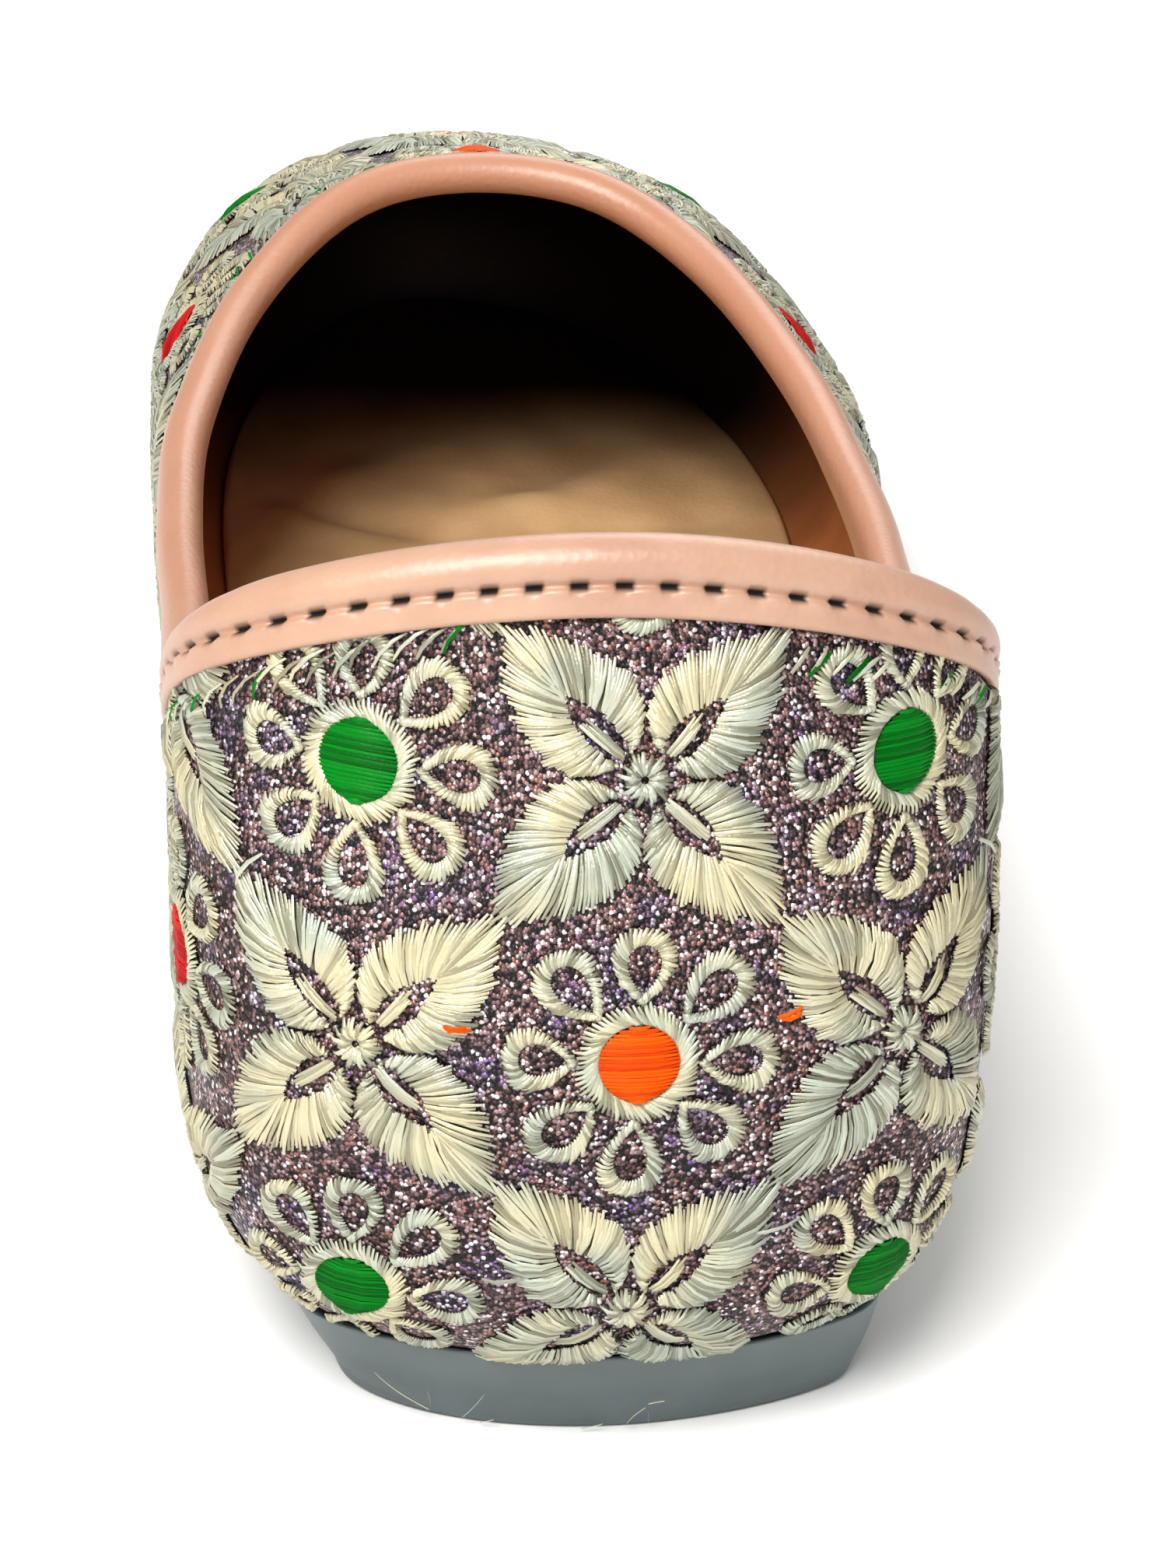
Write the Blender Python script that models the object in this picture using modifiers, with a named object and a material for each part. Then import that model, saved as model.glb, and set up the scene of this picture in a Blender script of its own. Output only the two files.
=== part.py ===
"""Mojari: a flat embroidered slip-on shoe for the right foot, in metres.

The shoe's wall is a ring of ribs. Each rib runs from the lasting margin on the sole, round the
feather edge, over the girth and up to the topline. +Y points to the toe and +X to the little toe.
"""
import math
from collections import namedtuple

import bpy
import numpy as np

COLLECTION = "mojari"

# Plan of the girth, the widest line round the shoe
LENGTH = 0.250
HEEL_WIDTH = 0.0655
BALL_LATERAL = 0.0455
BALL_MEDIAL = 0.0353
HEEL_PLACE = 0.0220
BALL_PLACE = 0.1725
WAIST_LATERAL = 0.0026
HEEL_ROUNDNESS = 2.35
TOE_ROUNDNESS = 2.10

# Topline: the edge of the embroidered wall
COLLAR_HEIGHT = 0.0750
SIDE_HEIGHT = 0.0438
INSTEP_HEIGHT = 0.0584
THROAT_REACH = 0.1590
OPENING_BEND = 0.0900
OPENING_ROUNDNESS = 2.35
COLLAR_LEAN = 0.0128
COLLAR_LEAN_REACH = 0.0500
TOPLINE_INSET_LATERAL = 0.0012
TOPLINE_INSET_MEDIAL = 0.0

# Wall of the upper. The girth line falls from the heel's height to the toe's by GIRTH_FALL_END, and
# the two handles are shares of the reach from the feather edge to the girth.
WALL = 0.0018
GIRTH_HEIGHT_HEEL = 0.0295
GIRTH_HEIGHT_TOE = 0.0175
GIRTH_FALL_END = 0.2000
TUCK = 0.0094
TUCK_SLOPE = 36.0
TUCK_LOW_HANDLE = 0.40
TUCK_HIGH_HANDLE = 0.45
LASTING_MARGIN = 0.0070

# Moulded sole
SOLE_HEEL = 0.0077
SOLE_FOREPART = 0.0045
SOLE_LIP = 0.0017
SOLE_TAPER = 0.0022
SOLE_EDGE = 0.0008
ARCH_RISE = 0.0022
HEEL_BREAST = 0.0640
BREAST_RUN = 0.0140
TREAD_START = 0.1500
TREAD_RUN = 0.0320
SPRING_START = 0.1920
TOE_SPRING = 0.0042

# Binding that straddles the topline
BINDING_THICKNESS = 0.0009
BINDING_DROP_OUTSIDE = 0.0049
BINDING_DROP_INSIDE = 0.0045
BINDING_CROWN = 0.0005

# Padded insole: its foot lies inside the feather edge, its rim bulges out over it
INSOLE_PAD = 0.0026
INSOLE_FOOT_INSET = 0.0010
INSOLE_RIM_BULGE = 0.0014
INSOLE_CROWN = 0.0007
INSOLE_CROWN_INSET = 0.0025

CLEARANCE = 0.0003
COLUMNS = 72
RIB_SAMPLES = 60
TUCK_ROWS = 4
WALL_ROWS = 8
BINDING_ROWS = 3
SHARP_EDGE = 50.0

# One row every twentieth of the way round, from the centre of the heel to the toe. Lifts are shares
# of the collar's and the instep's rise over the side, slope is the wall's in degrees at the topline,
# tuck is a share of TUCK, and the two fullness columns are shares of the rib's height over the girth.
Rib = namedtuple("Rib", "collar_lift instep_lift slope tuck low_fullness high_fullness")
HALF_RING = (
    Rib(1.00, 0.00, 70, 0.57, 0.36, 0.33),
    Rib(0.82, 0.00, 73, 0.79, 0.36, 0.33),
    Rib(0.49, 0.00, 80, 1.00, 0.36, 0.33),
    Rib(0.14, 0.00, 85, 1.00, 0.36, 0.33),
    Rib(0.03, 0.00, 84, 1.00, 0.34, 0.33),
    Rib(0.00, 0.10, 74, 1.00, 0.30, 0.34),
    Rib(0.00, 0.27, 62, 0.92, 0.25, 0.35),
    Rib(0.00, 0.50, 48, 0.86, 0.20, 0.36),
    Rib(0.00, 0.73, 30, 0.79, 0.18, 0.37),
    Rib(0.00, 0.93, 17, 0.73, 0.17, 0.38),
    Rib(0.00, 1.00, 13, 0.71, 0.17, 0.38),
)
KNOTS = 2 * (len(HALF_RING) - 1)

FABRIC = ("embroidered_fabric", (0.36, 0.31, 0.27), 0.62, 0.15)
PEACH_LEATHER = ("peach_leather", (0.72, 0.44, 0.32), 0.38, 0.0)
TAN_LEATHER = ("tan_leather", (0.60, 0.44, 0.27), 0.55, 0.0)
GREY_RUBBER = ("grey_rubber", (0.25, 0.30, 0.32), 0.42, 0.0)


def eased(start, end, value):
    """Smooth step from 0 at start to 1 at end."""
    share = np.clip((value - start) / (end - start), 0, 1)
    return share * share * (3 - 2 * share)


def sole_top(y):
    """Height of the sole's upper face at a distance from the back of the heel."""
    drop = (SOLE_HEEL - SOLE_FOREPART) * eased(HEEL_BREAST, TREAD_START, y)
    return SOLE_HEEL - drop + toe_spring(y)


def sole_bottom(y):
    """Height of the sole's underside: flat heel, arch, flat tread and toe spring."""
    rise = eased(HEEL_BREAST, HEEL_BREAST + BREAST_RUN, y)
    fall = eased(TREAD_START - TREAD_RUN, TREAD_START, y)
    return ARCH_RISE * (rise - fall) + toe_spring(y)


def toe_spring(y):
    """Rise of the toe over the ground."""
    return TOE_SPRING * np.clip((y - SPRING_START) / (LENGTH - SPRING_START), 0, 1) ** 2


def half_width(y, ball, waist):
    """Half width of the girth line: round heel, waist, ball and round toe."""
    heel = HEEL_WIDTH / 2
    if y < HEEL_PLACE:
        share = (HEEL_PLACE - y) / HEEL_PLACE
        return heel * max(1 - share ** HEEL_ROUNDNESS, 0) ** (1 / HEEL_ROUNDNESS)
    if y > BALL_PLACE:
        share = (y - BALL_PLACE) / (LENGTH - BALL_PLACE)
        return ball * max(1 - share ** TOE_ROUNDNESS, 0) ** (1 / TOE_ROUNDNESS)
    along = (y - HEEL_PLACE) / (BALL_PLACE - HEEL_PLACE)
    widening = (ball - heel) * eased(0, 1, along)
    return heel + widening - waist * math.sin(math.pi * along) ** 2


def girth_knot(place):
    """Point of the girth line at a share of the way round, seen from above."""
    y = LENGTH * (1 - math.cos(2 * math.pi * place)) / 2
    if place <= 0.5:
        return half_width(y, BALL_LATERAL, WAIST_LATERAL), y
    return -half_width(y, BALL_MEDIAL, 0), y


def topline_knot(place):
    """Point of the topline at a share of the way round, seen from above."""
    half = min(place, 1 - place)
    side = 1 if place <= 0.5 else -1
    inset = TOPLINE_INSET_LATERAL if side > 0 else TOPLINE_INSET_MEDIAL
    bend = math.acos(1 - 2 * OPENING_BEND / LENGTH) / (2 * math.pi)
    if half <= bend:
        x, y = girth_knot(place)
        lean = COLLAR_LEAN * eased(0, 1, 1 - y / COLLAR_LEAN_REACH)
        return side * max(abs(x) - inset, 0), y + lean
    turn = math.pi / 2 * (half - bend) / (0.5 - bend)
    ball, waist = (BALL_LATERAL, WAIST_LATERAL) if side > 0 else (BALL_MEDIAL, 0)
    width = half_width(OPENING_BEND, ball, waist) - inset
    power = 2 / OPENING_ROUNDNESS
    x = side * width * max(math.cos(turn), 0) ** power
    y = OPENING_BEND + (THROAT_REACH - OPENING_BEND) * math.sin(turn) ** power
    return x, y


def girth_height(y):
    """Height of the girth line over the ground."""
    heel = GIRTH_HEIGHT_HEEL - SOLE_HEEL
    toe = GIRTH_HEIGHT_TOE - SOLE_FOREPART
    return sole_top(y) + heel + (toe - heel) * eased(HEEL_BREAST, GIRTH_FALL_END, y)


def ring_knots():
    """Table of every knot: girth point, topline point, slope, tuck and the two fullnesses."""
    rows = []
    for index in range(KNOTS):
        place = index / KNOTS
        rib = HALF_RING[min(index, KNOTS - index)]
        girth_x, girth_y = girth_knot(place)
        top_x, top_y = topline_knot(place)
        collar = (COLLAR_HEIGHT - SIDE_HEIGHT) * rib.collar_lift
        instep = (INSTEP_HEIGHT - SIDE_HEIGHT) * rib.instep_lift
        girth = [girth_x, girth_y, girth_height(girth_y)]
        topline = [top_x, top_y, SIDE_HEIGHT + collar + instep]
        shape = [math.radians(rib.slope), rib.tuck * TUCK, rib.low_fullness, rib.high_fullness]
        rows.append(girth + topline + shape)
    return np.array(rows)


def ring_spline(knots, places):
    """Smooth closed curve through the knots: values and slopes at the given shares of the way round."""
    count = len(knots)
    step = 1 / count
    unit = np.eye(count)
    system = 4 * unit + np.roll(unit, 1, 0) + np.roll(unit, -1, 0)
    bend = np.roll(knots, 1, 0) - 2 * knots + np.roll(knots, -1, 0)
    curvature = np.linalg.solve(system, 6 * bend / step ** 2)
    spot = np.mod(places, 1) / step
    first = np.floor(spot).astype(int) % count
    second = (first + 1) % count
    far = (spot - np.floor(spot))[:, None]
    near = 1 - far
    a, b = knots[first], knots[second]
    c, d = curvature[first], curvature[second]
    values = near * a + far * b + step ** 2 / 6 * ((near ** 3 - near) * c + (far ** 3 - far) * d)
    slopes = (b - a) / step + step / 6 * ((3 * far ** 2 - 1) * d - (3 * near ** 2 - 1) * c)
    return values, slopes


def flat_outward(slopes):
    """Unit vectors that point out of a ring that runs counter-clockwise, seen from above."""
    outward = np.stack([slopes[:, 1], -slopes[:, 0], np.zeros(len(slopes))], axis=-1)
    return outward / np.linalg.norm(outward, axis=-1, keepdims=True)


def bezier(points, share):
    """Point of a cubic Bezier curve."""
    a, b, c, d = points
    rest = 1 - share
    return rest ** 3 * a + 3 * rest ** 2 * share * b + 3 * rest * share ** 2 * c + share ** 3 * d


class Last:
    """Ribs round the shoe, one for each column."""

    def __init__(self, places):
        values, slopes = ring_spline(ring_knots(), places)
        self.girth = values[:, 0:3]
        self.topline = values[:, 3:6]
        slope, tuck = values[:, 6:7], values[:, 7:8]
        low, high = values[:, 8:9], values[:, 9:10]
        self.out = flat_outward(slopes[:, 0:3])
        self.tuck = tuck
        self.feather = self.on_sole(tuck)
        up = np.array([0.0, 0.0, 1.0])
        tuck_angle = math.radians(TUCK_SLOPE)
        reach = np.linalg.norm(self.girth - self.feather, axis=-1, keepdims=True)
        start = self.out * math.cos(tuck_angle) + up * math.sin(tuck_angle)
        rise = np.linalg.norm(self.topline - self.girth, axis=-1, keepdims=True)
        inward = -flat_outward(slopes[:, 3:6])
        end = inward * np.cos(slope) + up * np.sin(slope)
        self.tuck_curve = (self.feather, self.feather + TUCK_LOW_HANDLE * reach * start,
                           self.girth - TUCK_HIGH_HANDLE * reach * up, self.girth)
        self.wall_curve = (self.girth, self.girth + low * rise * up,
                           self.topline - high * rise * end, self.topline)

    def on_sole(self, inset):
        """Ring on the sole's upper face, drawn in from the girth line."""
        ring = self.girth - self.out * inset
        ring[:, 2] = sole_top(ring[:, 1])
        return ring

    def wall_lengths(self):
        """Length of each rib from the girth line to the topline."""
        return self.depths_along()[1][0]

    def depths_along(self):
        """Fine points of each rib over the girth line, with their depths below the topline."""
        ribs = np.array([bezier(self.wall_curve, share) for share in np.linspace(0, 1, RIB_SAMPLES)])
        steps = np.linalg.norm(np.diff(ribs, axis=0), axis=-1)
        depths = np.vstack([np.cumsum(steps[::-1], axis=0)[::-1], np.zeros(ribs.shape[1])])
        return ribs, depths

    def wall_ring(self, depth):
        """Ring of the wall at a depth below the topline, one for all ribs or one for each."""
        ribs, depths = self.depths_along()
        wanted = np.broadcast_to(depth, depths.shape[1])
        ring = np.empty(self.girth.shape)
        for column, below in enumerate(wanted):
            for axis in range(3):
                ring[column, axis] = np.interp(-below, -depths[:, column], ribs[:, column, axis])
        return ring


def outward_normals(lower, upper):
    """Unit normals of the strip between two rings, taken at its columns."""
    around = np.roll(upper, -1, 0) - np.roll(upper, 1, 0)
    normals = np.cross(around, upper - lower)
    return normals / np.linalg.norm(normals, axis=-1, keepdims=True)


def strip_faces(rings, columns):
    """Quads between each ring and the next one."""
    faces = []
    for row in range(rings - 1):
        for column in range(columns):
            after = (column + 1) % columns
            low, high = row * columns, (row + 1) * columns
            faces.append((low + column, low + after, high + after, high + column))
    return faces


def cap_faces(first, columns, upward):
    """Faces that close a ring: each column is joined with the one across the shoe."""
    faces = []
    for column in range(columns // 2):
        across = columns - column
        corners = [column, column + 1, across - 1, across % columns]
        face = [first + corner for corner in dict.fromkeys(corners)]
        faces.append(tuple(face if upward else reversed(face)))
    return faces


def material_of(finish):
    """Principled material with a finish's colour, roughness and metallic value."""
    name, colour, roughness, metallic = finish
    material = bpy.data.materials.new(name)
    material.use_nodes = True
    shader = material.node_tree.nodes["Principled BSDF"]
    shader.inputs["Base Color"].default_value = (*colour, 1.0)
    shader.inputs["Roughness"].default_value = roughness
    shader.inputs["Metallic"].default_value = metallic
    return material


def add_object(name, rings, finish, collection, origin, capped=False):
    """Object from a stack of rings, left open for a shell or capped below and above."""
    columns = len(rings[0])
    faces = strip_faces(len(rings), columns)
    if capped:
        faces += cap_faces(0, columns, upward=False)
        faces += cap_faces((len(rings) - 1) * columns, columns, upward=True)
    mesh = bpy.data.meshes.new(name)
    mesh.from_pydata([tuple(point) for point in np.concatenate(rings)], [], faces)
    mesh.materials.append(material_of(finish))
    mesh.shade_smooth()
    mesh.set_sharp_from_angle(angle=math.radians(SHARP_EDGE))
    piece = bpy.data.objects.new(name, mesh)
    piece.parent = origin
    collection.objects.link(piece)
    return piece


def add_shell(piece, thickness, outward):
    """Solidify a piece's surface to a wall, outward or inward from it."""
    shell = piece.modifiers.new("wall", "SOLIDIFY")
    shell.thickness = thickness
    shell.offset = 1 if outward else -1
    shell.use_even_offset = True
    shell.use_rim = True


def upper_rings(last):
    """Rings of the embroidered wall, from the lasting margin to the topline."""
    rings = [last.on_sole(last.tuck + LASTING_MARGIN), last.feather.copy()]
    for row in range(1, TUCK_ROWS):
        rings.append(bezier(last.tuck_curve, row / TUCK_ROWS))
    for ring in rings:
        ring[:, 2] += CLEARANCE
    lengths = last.wall_lengths()
    for row in range(WALL_ROWS):
        share = row / WALL_ROWS
        rings.append(last.wall_ring(lengths + (BINDING_DROP_OUTSIDE - lengths) * share))
    for depth in binding_depths():
        rings.append(last.wall_ring(depth))
    return rings


def binding_depths():
    """Depths of the rows that the binding shares with the wall, from its edge to the topline."""
    return [BINDING_DROP_OUTSIDE * (1 - row / BINDING_ROWS) for row in range(BINDING_ROWS + 1)]


def binding_rings(last):
    """Rings of the binding's inner face: up the outside, over the topline and down the inside."""
    top = last.wall_ring(0)
    rows = [last.wall_ring(depth) for depth in binding_depths()]
    below = last.wall_ring(BINDING_DROP_OUTSIDE * (1 + 1 / BINDING_ROWS))
    rings = []
    for lower, row in zip([below] + rows, rows):
        rings.append(row + outward_normals(lower, row) * CLEARANCE)
    normal = outward_normals(rows[-2], top)
    upward = np.cross(normal, np.roll(top, -1, 0) - np.roll(top, 1, 0))
    upward /= np.linalg.norm(upward, axis=-1, keepdims=True)
    rings[-1] += upward * CLEARANCE
    rings.append(top - normal * WALL / 2 + upward * (CLEARANCE + BINDING_CROWN))
    inner = WALL + CLEARANCE
    rings.append(top - normal * inner + upward * CLEARANCE)
    half_drop = BINDING_DROP_INSIDE / 2
    for depth in (half_drop, BINDING_DROP_INSIDE):
        row = last.wall_ring(depth)
        lower = last.wall_ring(depth + half_drop)
        rings.append(row - outward_normals(lower, row) * inner)
    return rings


def sole_rings(last):
    """Rings of the moulded sole, from its tread to its upper edge."""
    top = last.on_sole(last.tuck - SOLE_LIP)
    side = last.on_sole(last.tuck - SOLE_LIP + SOLE_TAPER)
    tread = last.on_sole(last.tuck - SOLE_LIP + SOLE_TAPER + SOLE_EDGE)
    tread[:, 2] = sole_bottom(tread[:, 1])
    side[:, 2] = sole_bottom(side[:, 1]) + SOLE_EDGE
    return [tread, side, top]


def insole_rings(last):
    """Rings of the padded insole, which fills the lasting margin's opening and lies over the margin."""
    fill = last.tuck + LASTING_MARGIN + 2 * CLEARANCE
    over_margin = WALL + 2 * CLEARANCE
    levels = (
        (fill, CLEARANCE),
        (fill, over_margin),
        (last.tuck + INSOLE_FOOT_INSET, over_margin),
        (last.tuck - INSOLE_RIM_BULGE, over_margin + INSOLE_PAD),
        (last.tuck + INSOLE_CROWN_INSET, over_margin + INSOLE_PAD + INSOLE_CROWN),
    )
    rings = []
    for inset, height in levels:
        ring = last.on_sole(inset)
        ring[:, 2] += height
        rings.append(ring)
    return rings


def clear_scene():
    """Remove the objects of the scene."""
    for item in list(bpy.data.objects):
        bpy.data.objects.remove(item, do_unlink=True)


def build_mojari():
    """Build the shoe's four pieces, with the origin under the middle of the shoe."""
    clear_scene()
    collection = bpy.data.collections.new(COLLECTION)
    bpy.context.scene.collection.children.link(collection)
    last = Last(np.arange(COLUMNS) / COLUMNS)
    rings = upper_rings(last)
    outline = np.concatenate(rings)
    middle = (outline.min(axis=0) + outline.max(axis=0)) / 2
    origin = bpy.data.objects.new("shoe_origin", None)
    origin.location = (-middle[0], -middle[1], 0)
    collection.objects.link(origin)
    add_object("outsole", sole_rings(last), GREY_RUBBER, collection, origin, capped=True)
    upper = add_object("upper", rings, FABRIC, collection, origin)
    add_shell(upper, WALL, outward=False)
    add_object("insole", insole_rings(last), TAN_LEATHER, collection, origin, capped=True)
    binding = add_object("topline_binding", binding_rings(last), PEACH_LEATHER, collection, origin)
    add_shell(binding, BINDING_THICKNESS, outward=True)


build_mojari()
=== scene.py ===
"""Looks of a right-foot mojari: embroidered wall, leather binding, padded insole and moulded sole.

Every piece is built from one form, a ring of ribs round the last, in metres. A place is a share of
the way round the shoe: 0 at the back of the heel, 0.25 on the little toe's side, 0.5 at the toe.
"""
from __future__ import annotations

import logging
import math
from dataclasses import dataclass, field
from enum import Enum
from typing import NamedTuple

import bpy
import numpy as np
from mathutils import Euler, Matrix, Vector

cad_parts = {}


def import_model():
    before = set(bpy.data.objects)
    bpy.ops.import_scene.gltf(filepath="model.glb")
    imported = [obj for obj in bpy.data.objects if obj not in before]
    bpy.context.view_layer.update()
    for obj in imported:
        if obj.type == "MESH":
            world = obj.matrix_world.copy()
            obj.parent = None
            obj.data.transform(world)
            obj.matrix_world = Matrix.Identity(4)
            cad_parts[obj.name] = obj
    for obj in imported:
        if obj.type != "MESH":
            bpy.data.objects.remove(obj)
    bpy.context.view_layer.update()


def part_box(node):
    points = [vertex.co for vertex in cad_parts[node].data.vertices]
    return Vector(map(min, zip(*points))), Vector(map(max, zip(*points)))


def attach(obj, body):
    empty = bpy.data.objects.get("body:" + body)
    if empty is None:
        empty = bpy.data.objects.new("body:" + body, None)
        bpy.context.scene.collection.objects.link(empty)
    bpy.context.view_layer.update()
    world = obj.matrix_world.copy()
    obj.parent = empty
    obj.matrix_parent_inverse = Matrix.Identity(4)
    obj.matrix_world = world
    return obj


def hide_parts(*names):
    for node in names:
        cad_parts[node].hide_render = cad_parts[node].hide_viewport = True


LOG = logging.getLogger("mojari")
BODY = "root"
UP = np.array([0.0, 0.0, 1.0])
CLOTH_SPAN = 0.4
CLOTH_THICKNESS = 0.0007
THREAD_WIDTH = 0.00034


class Rib(NamedTuple):
    """Shape of the wall at one knot, in shares of the named sizes; slope is in degrees."""

    collar_lift: float
    instep_lift: float
    slope: float
    tuck: float
    low_fullness: float
    high_fullness: float


HALF_RING = (
    Rib(1.00, 0.00, 70, 0.57, 0.36, 0.33),
    Rib(0.82, 0.00, 73, 0.79, 0.36, 0.33),
    Rib(0.49, 0.00, 80, 1.00, 0.36, 0.33),
    Rib(0.14, 0.00, 85, 1.00, 0.36, 0.33),
    Rib(0.03, 0.00, 84, 1.00, 0.34, 0.33),
    Rib(0.00, 0.10, 74, 1.00, 0.30, 0.34),
    Rib(0.00, 0.27, 62, 0.92, 0.25, 0.35),
    Rib(0.00, 0.50, 48, 0.86, 0.20, 0.36),
    Rib(0.00, 0.73, 30, 0.79, 0.18, 0.37),
    Rib(0.00, 0.93, 17, 0.73, 0.17, 0.38),
    Rib(0.00, 1.00, 13, 0.71, 0.17, 0.38),
)


class Crease(NamedTuple):
    """A soft trough in the shoe's own coordinates; a negative depth makes a ridge."""

    centre: tuple[float, float, float]
    along: tuple[float, float, float]
    length: float
    width: float
    depth: float


class Panel(Enum):
    """The two panels of cloth, joined at the sides."""

    BACK = "back"
    VAMP = "vamp"


class Centre(Enum):
    """Silk of a loop flower's centre."""

    GREEN = "green"
    ORANGE = "orange"
    RED = "red"


def eased(start: float, end: float, value: np.ndarray | float) -> np.ndarray | float:
    """Smooth step.

    Args:
        start: value where the step begins.
        end: value where it reaches 1.
        value: where to read it.

    Returns:
        The step's height, from 0 to 1.
    """
    share = np.clip((value - start) / (end - start), 0, 1)
    return share * share * (3 - 2 * share)


def bezier(points: tuple, share: np.ndarray | float) -> np.ndarray:
    """Point of a cubic Bezier curve.

    Args:
        points: its four control points.
        share: where along the curve, from 0 to 1.

    Returns:
        The point, or one for each share.
    """
    a, b, c, d = points
    rest = 1 - share
    return rest ** 3 * a + 3 * rest ** 2 * share * b + 3 * rest * share ** 2 * c + share ** 3 * d


def unit(vectors: np.ndarray) -> np.ndarray:
    """Vectors scaled to length 1."""
    return vectors / np.maximum(np.linalg.norm(vectors, axis=-1, keepdims=True), 1e-12)


@dataclass(frozen=True)
class ShoeForm:
    """Sizes of the last and wall, and the curves that they give."""

    length: float = 0.250
    heel_width: float = 0.0655
    ball_lateral: float = 0.0455
    ball_medial: float = 0.0353
    heel_place: float = 0.0220
    ball_place: float = 0.1725
    waist_lateral: float = 0.0026
    heel_roundness: float = 2.35
    toe_roundness: float = 2.10
    collar_height: float = 0.0750
    side_height: float = 0.0438
    instep_height: float = 0.0584
    throat_reach: float = 0.1590
    opening_bend: float = 0.0900
    opening_roundness: float = 2.35
    collar_lean: float = 0.0128
    collar_lean_reach: float = 0.0500
    inset_lateral: float = 0.0012
    inset_medial: float = 0.0
    wall: float = 0.0018
    girth_height_heel: float = 0.0295
    girth_height_toe: float = 0.0175
    girth_fall_end: float = 0.2000
    tuck: float = 0.0094
    tuck_slope: float = 36.0
    tuck_low_handle: float = 0.40
    tuck_high_handle: float = 0.45
    lasting_margin: float = 0.0070
    sole_heel: float = 0.0077
    sole_forepart: float = 0.0045
    arch_rise: float = 0.0022
    heel_breast: float = 0.0640
    breast_run: float = 0.0140
    tread_start: float = 0.1500
    tread_run: float = 0.0320
    spring_start: float = 0.1920
    spring_rise: float = 0.0042
    clearance: float = 0.0003
    samples: int = 90

    def toe_spring(self, y: np.ndarray) -> np.ndarray:
        """Rise of the toe over the ground."""
        share = (y - self.spring_start) / (self.length - self.spring_start)
        return self.spring_rise * np.clip(share, 0, 1) ** 2

    def sole_top(self, y: np.ndarray) -> np.ndarray:
        """Height of the sole's upper face."""
        drop = (self.sole_heel - self.sole_forepart) * eased(self.heel_breast, self.tread_start, y)
        return self.sole_heel - drop + self.toe_spring(y)

    def sole_bottom(self, y: np.ndarray) -> np.ndarray:
        """Height of the sole's underside."""
        rise = eased(self.heel_breast, self.heel_breast + self.breast_run, y)
        fall = eased(self.tread_start - self.tread_run, self.tread_start, y)
        return self.arch_rise * (rise - fall) + self.toe_spring(y)

    def half_width(self, y: float, ball: float, waist: float) -> float:
        """Half width of the girth line.

        Args:
            y: distance from the back of the heel.
            ball: half width at the ball on that side.
            waist: how far the waist is drawn in there.

        Returns:
            The half width.
        """
        heel = self.heel_width / 2
        if y < self.heel_place:
            share = (self.heel_place - y) / self.heel_place
            return heel * max(1 - share ** self.heel_roundness, 0) ** (1 / self.heel_roundness)
        if y > self.ball_place:
            share = (y - self.ball_place) / (self.length - self.ball_place)
            return ball * max(1 - share ** self.toe_roundness, 0) ** (1 / self.toe_roundness)
        along = (y - self.heel_place) / (self.ball_place - self.heel_place)
        return heel + (ball - heel) * eased(0, 1, along) - waist * math.sin(math.pi * along) ** 2

    def girth_knot(self, place: float) -> tuple[float, float]:
        """Point of the girth line, seen from above."""
        y = self.length * (1 - math.cos(2 * math.pi * place)) / 2
        if place <= 0.5:
            return self.half_width(y, self.ball_lateral, self.waist_lateral), y
        return -self.half_width(y, self.ball_medial, 0), y

    def topline_knot(self, place: float) -> tuple[float, float]:
        """Point of the topline, seen from above."""
        half = min(place, 1 - place)
        side = 1 if place <= 0.5 else -1
        inset = self.inset_lateral if side > 0 else self.inset_medial
        bend = math.acos(1 - 2 * self.opening_bend / self.length) / (2 * math.pi)
        if half <= bend:
            x, y = self.girth_knot(place)
            lean = self.collar_lean * eased(0, 1, 1 - y / self.collar_lean_reach)
            return side * max(abs(x) - inset, 0), y + lean
        turn = math.pi / 2 * (half - bend) / (0.5 - bend)
        ball, waist = (self.ball_lateral, self.waist_lateral) if side > 0 else (self.ball_medial, 0)
        width = self.half_width(self.opening_bend, ball, waist) - inset
        power = 2 / self.opening_roundness
        x = side * width * max(math.cos(turn), 0) ** power
        return x, self.opening_bend + (self.throat_reach - self.opening_bend) * math.sin(turn) ** power

    def knots(self) -> np.ndarray:
        """Table of the ring's knots: girth and topline points, slope, tuck and fullnesses."""
        rows = []
        count = 2 * (len(HALF_RING) - 1)
        heel, toe = self.girth_height_heel - self.sole_heel, self.girth_height_toe - self.sole_forepart
        for index in range(count):
            rib = HALF_RING[min(index, count - index)]
            x, y = self.girth_knot(index / count)
            height = self.sole_top(y) + heel + (toe - heel) * eased(self.heel_breast, self.girth_fall_end, y)
            top_x, top_y = self.topline_knot(index / count)
            collar = (self.collar_height - self.side_height) * rib.collar_lift
            instep = (self.instep_height - self.side_height) * rib.instep_lift
            shape = [math.radians(rib.slope), rib.tuck * self.tuck, rib.low_fullness, rib.high_fullness]
            rows.append([x, y, height, top_x, top_y, self.side_height + collar + instep] + shape)
        return np.array(rows)

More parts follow.
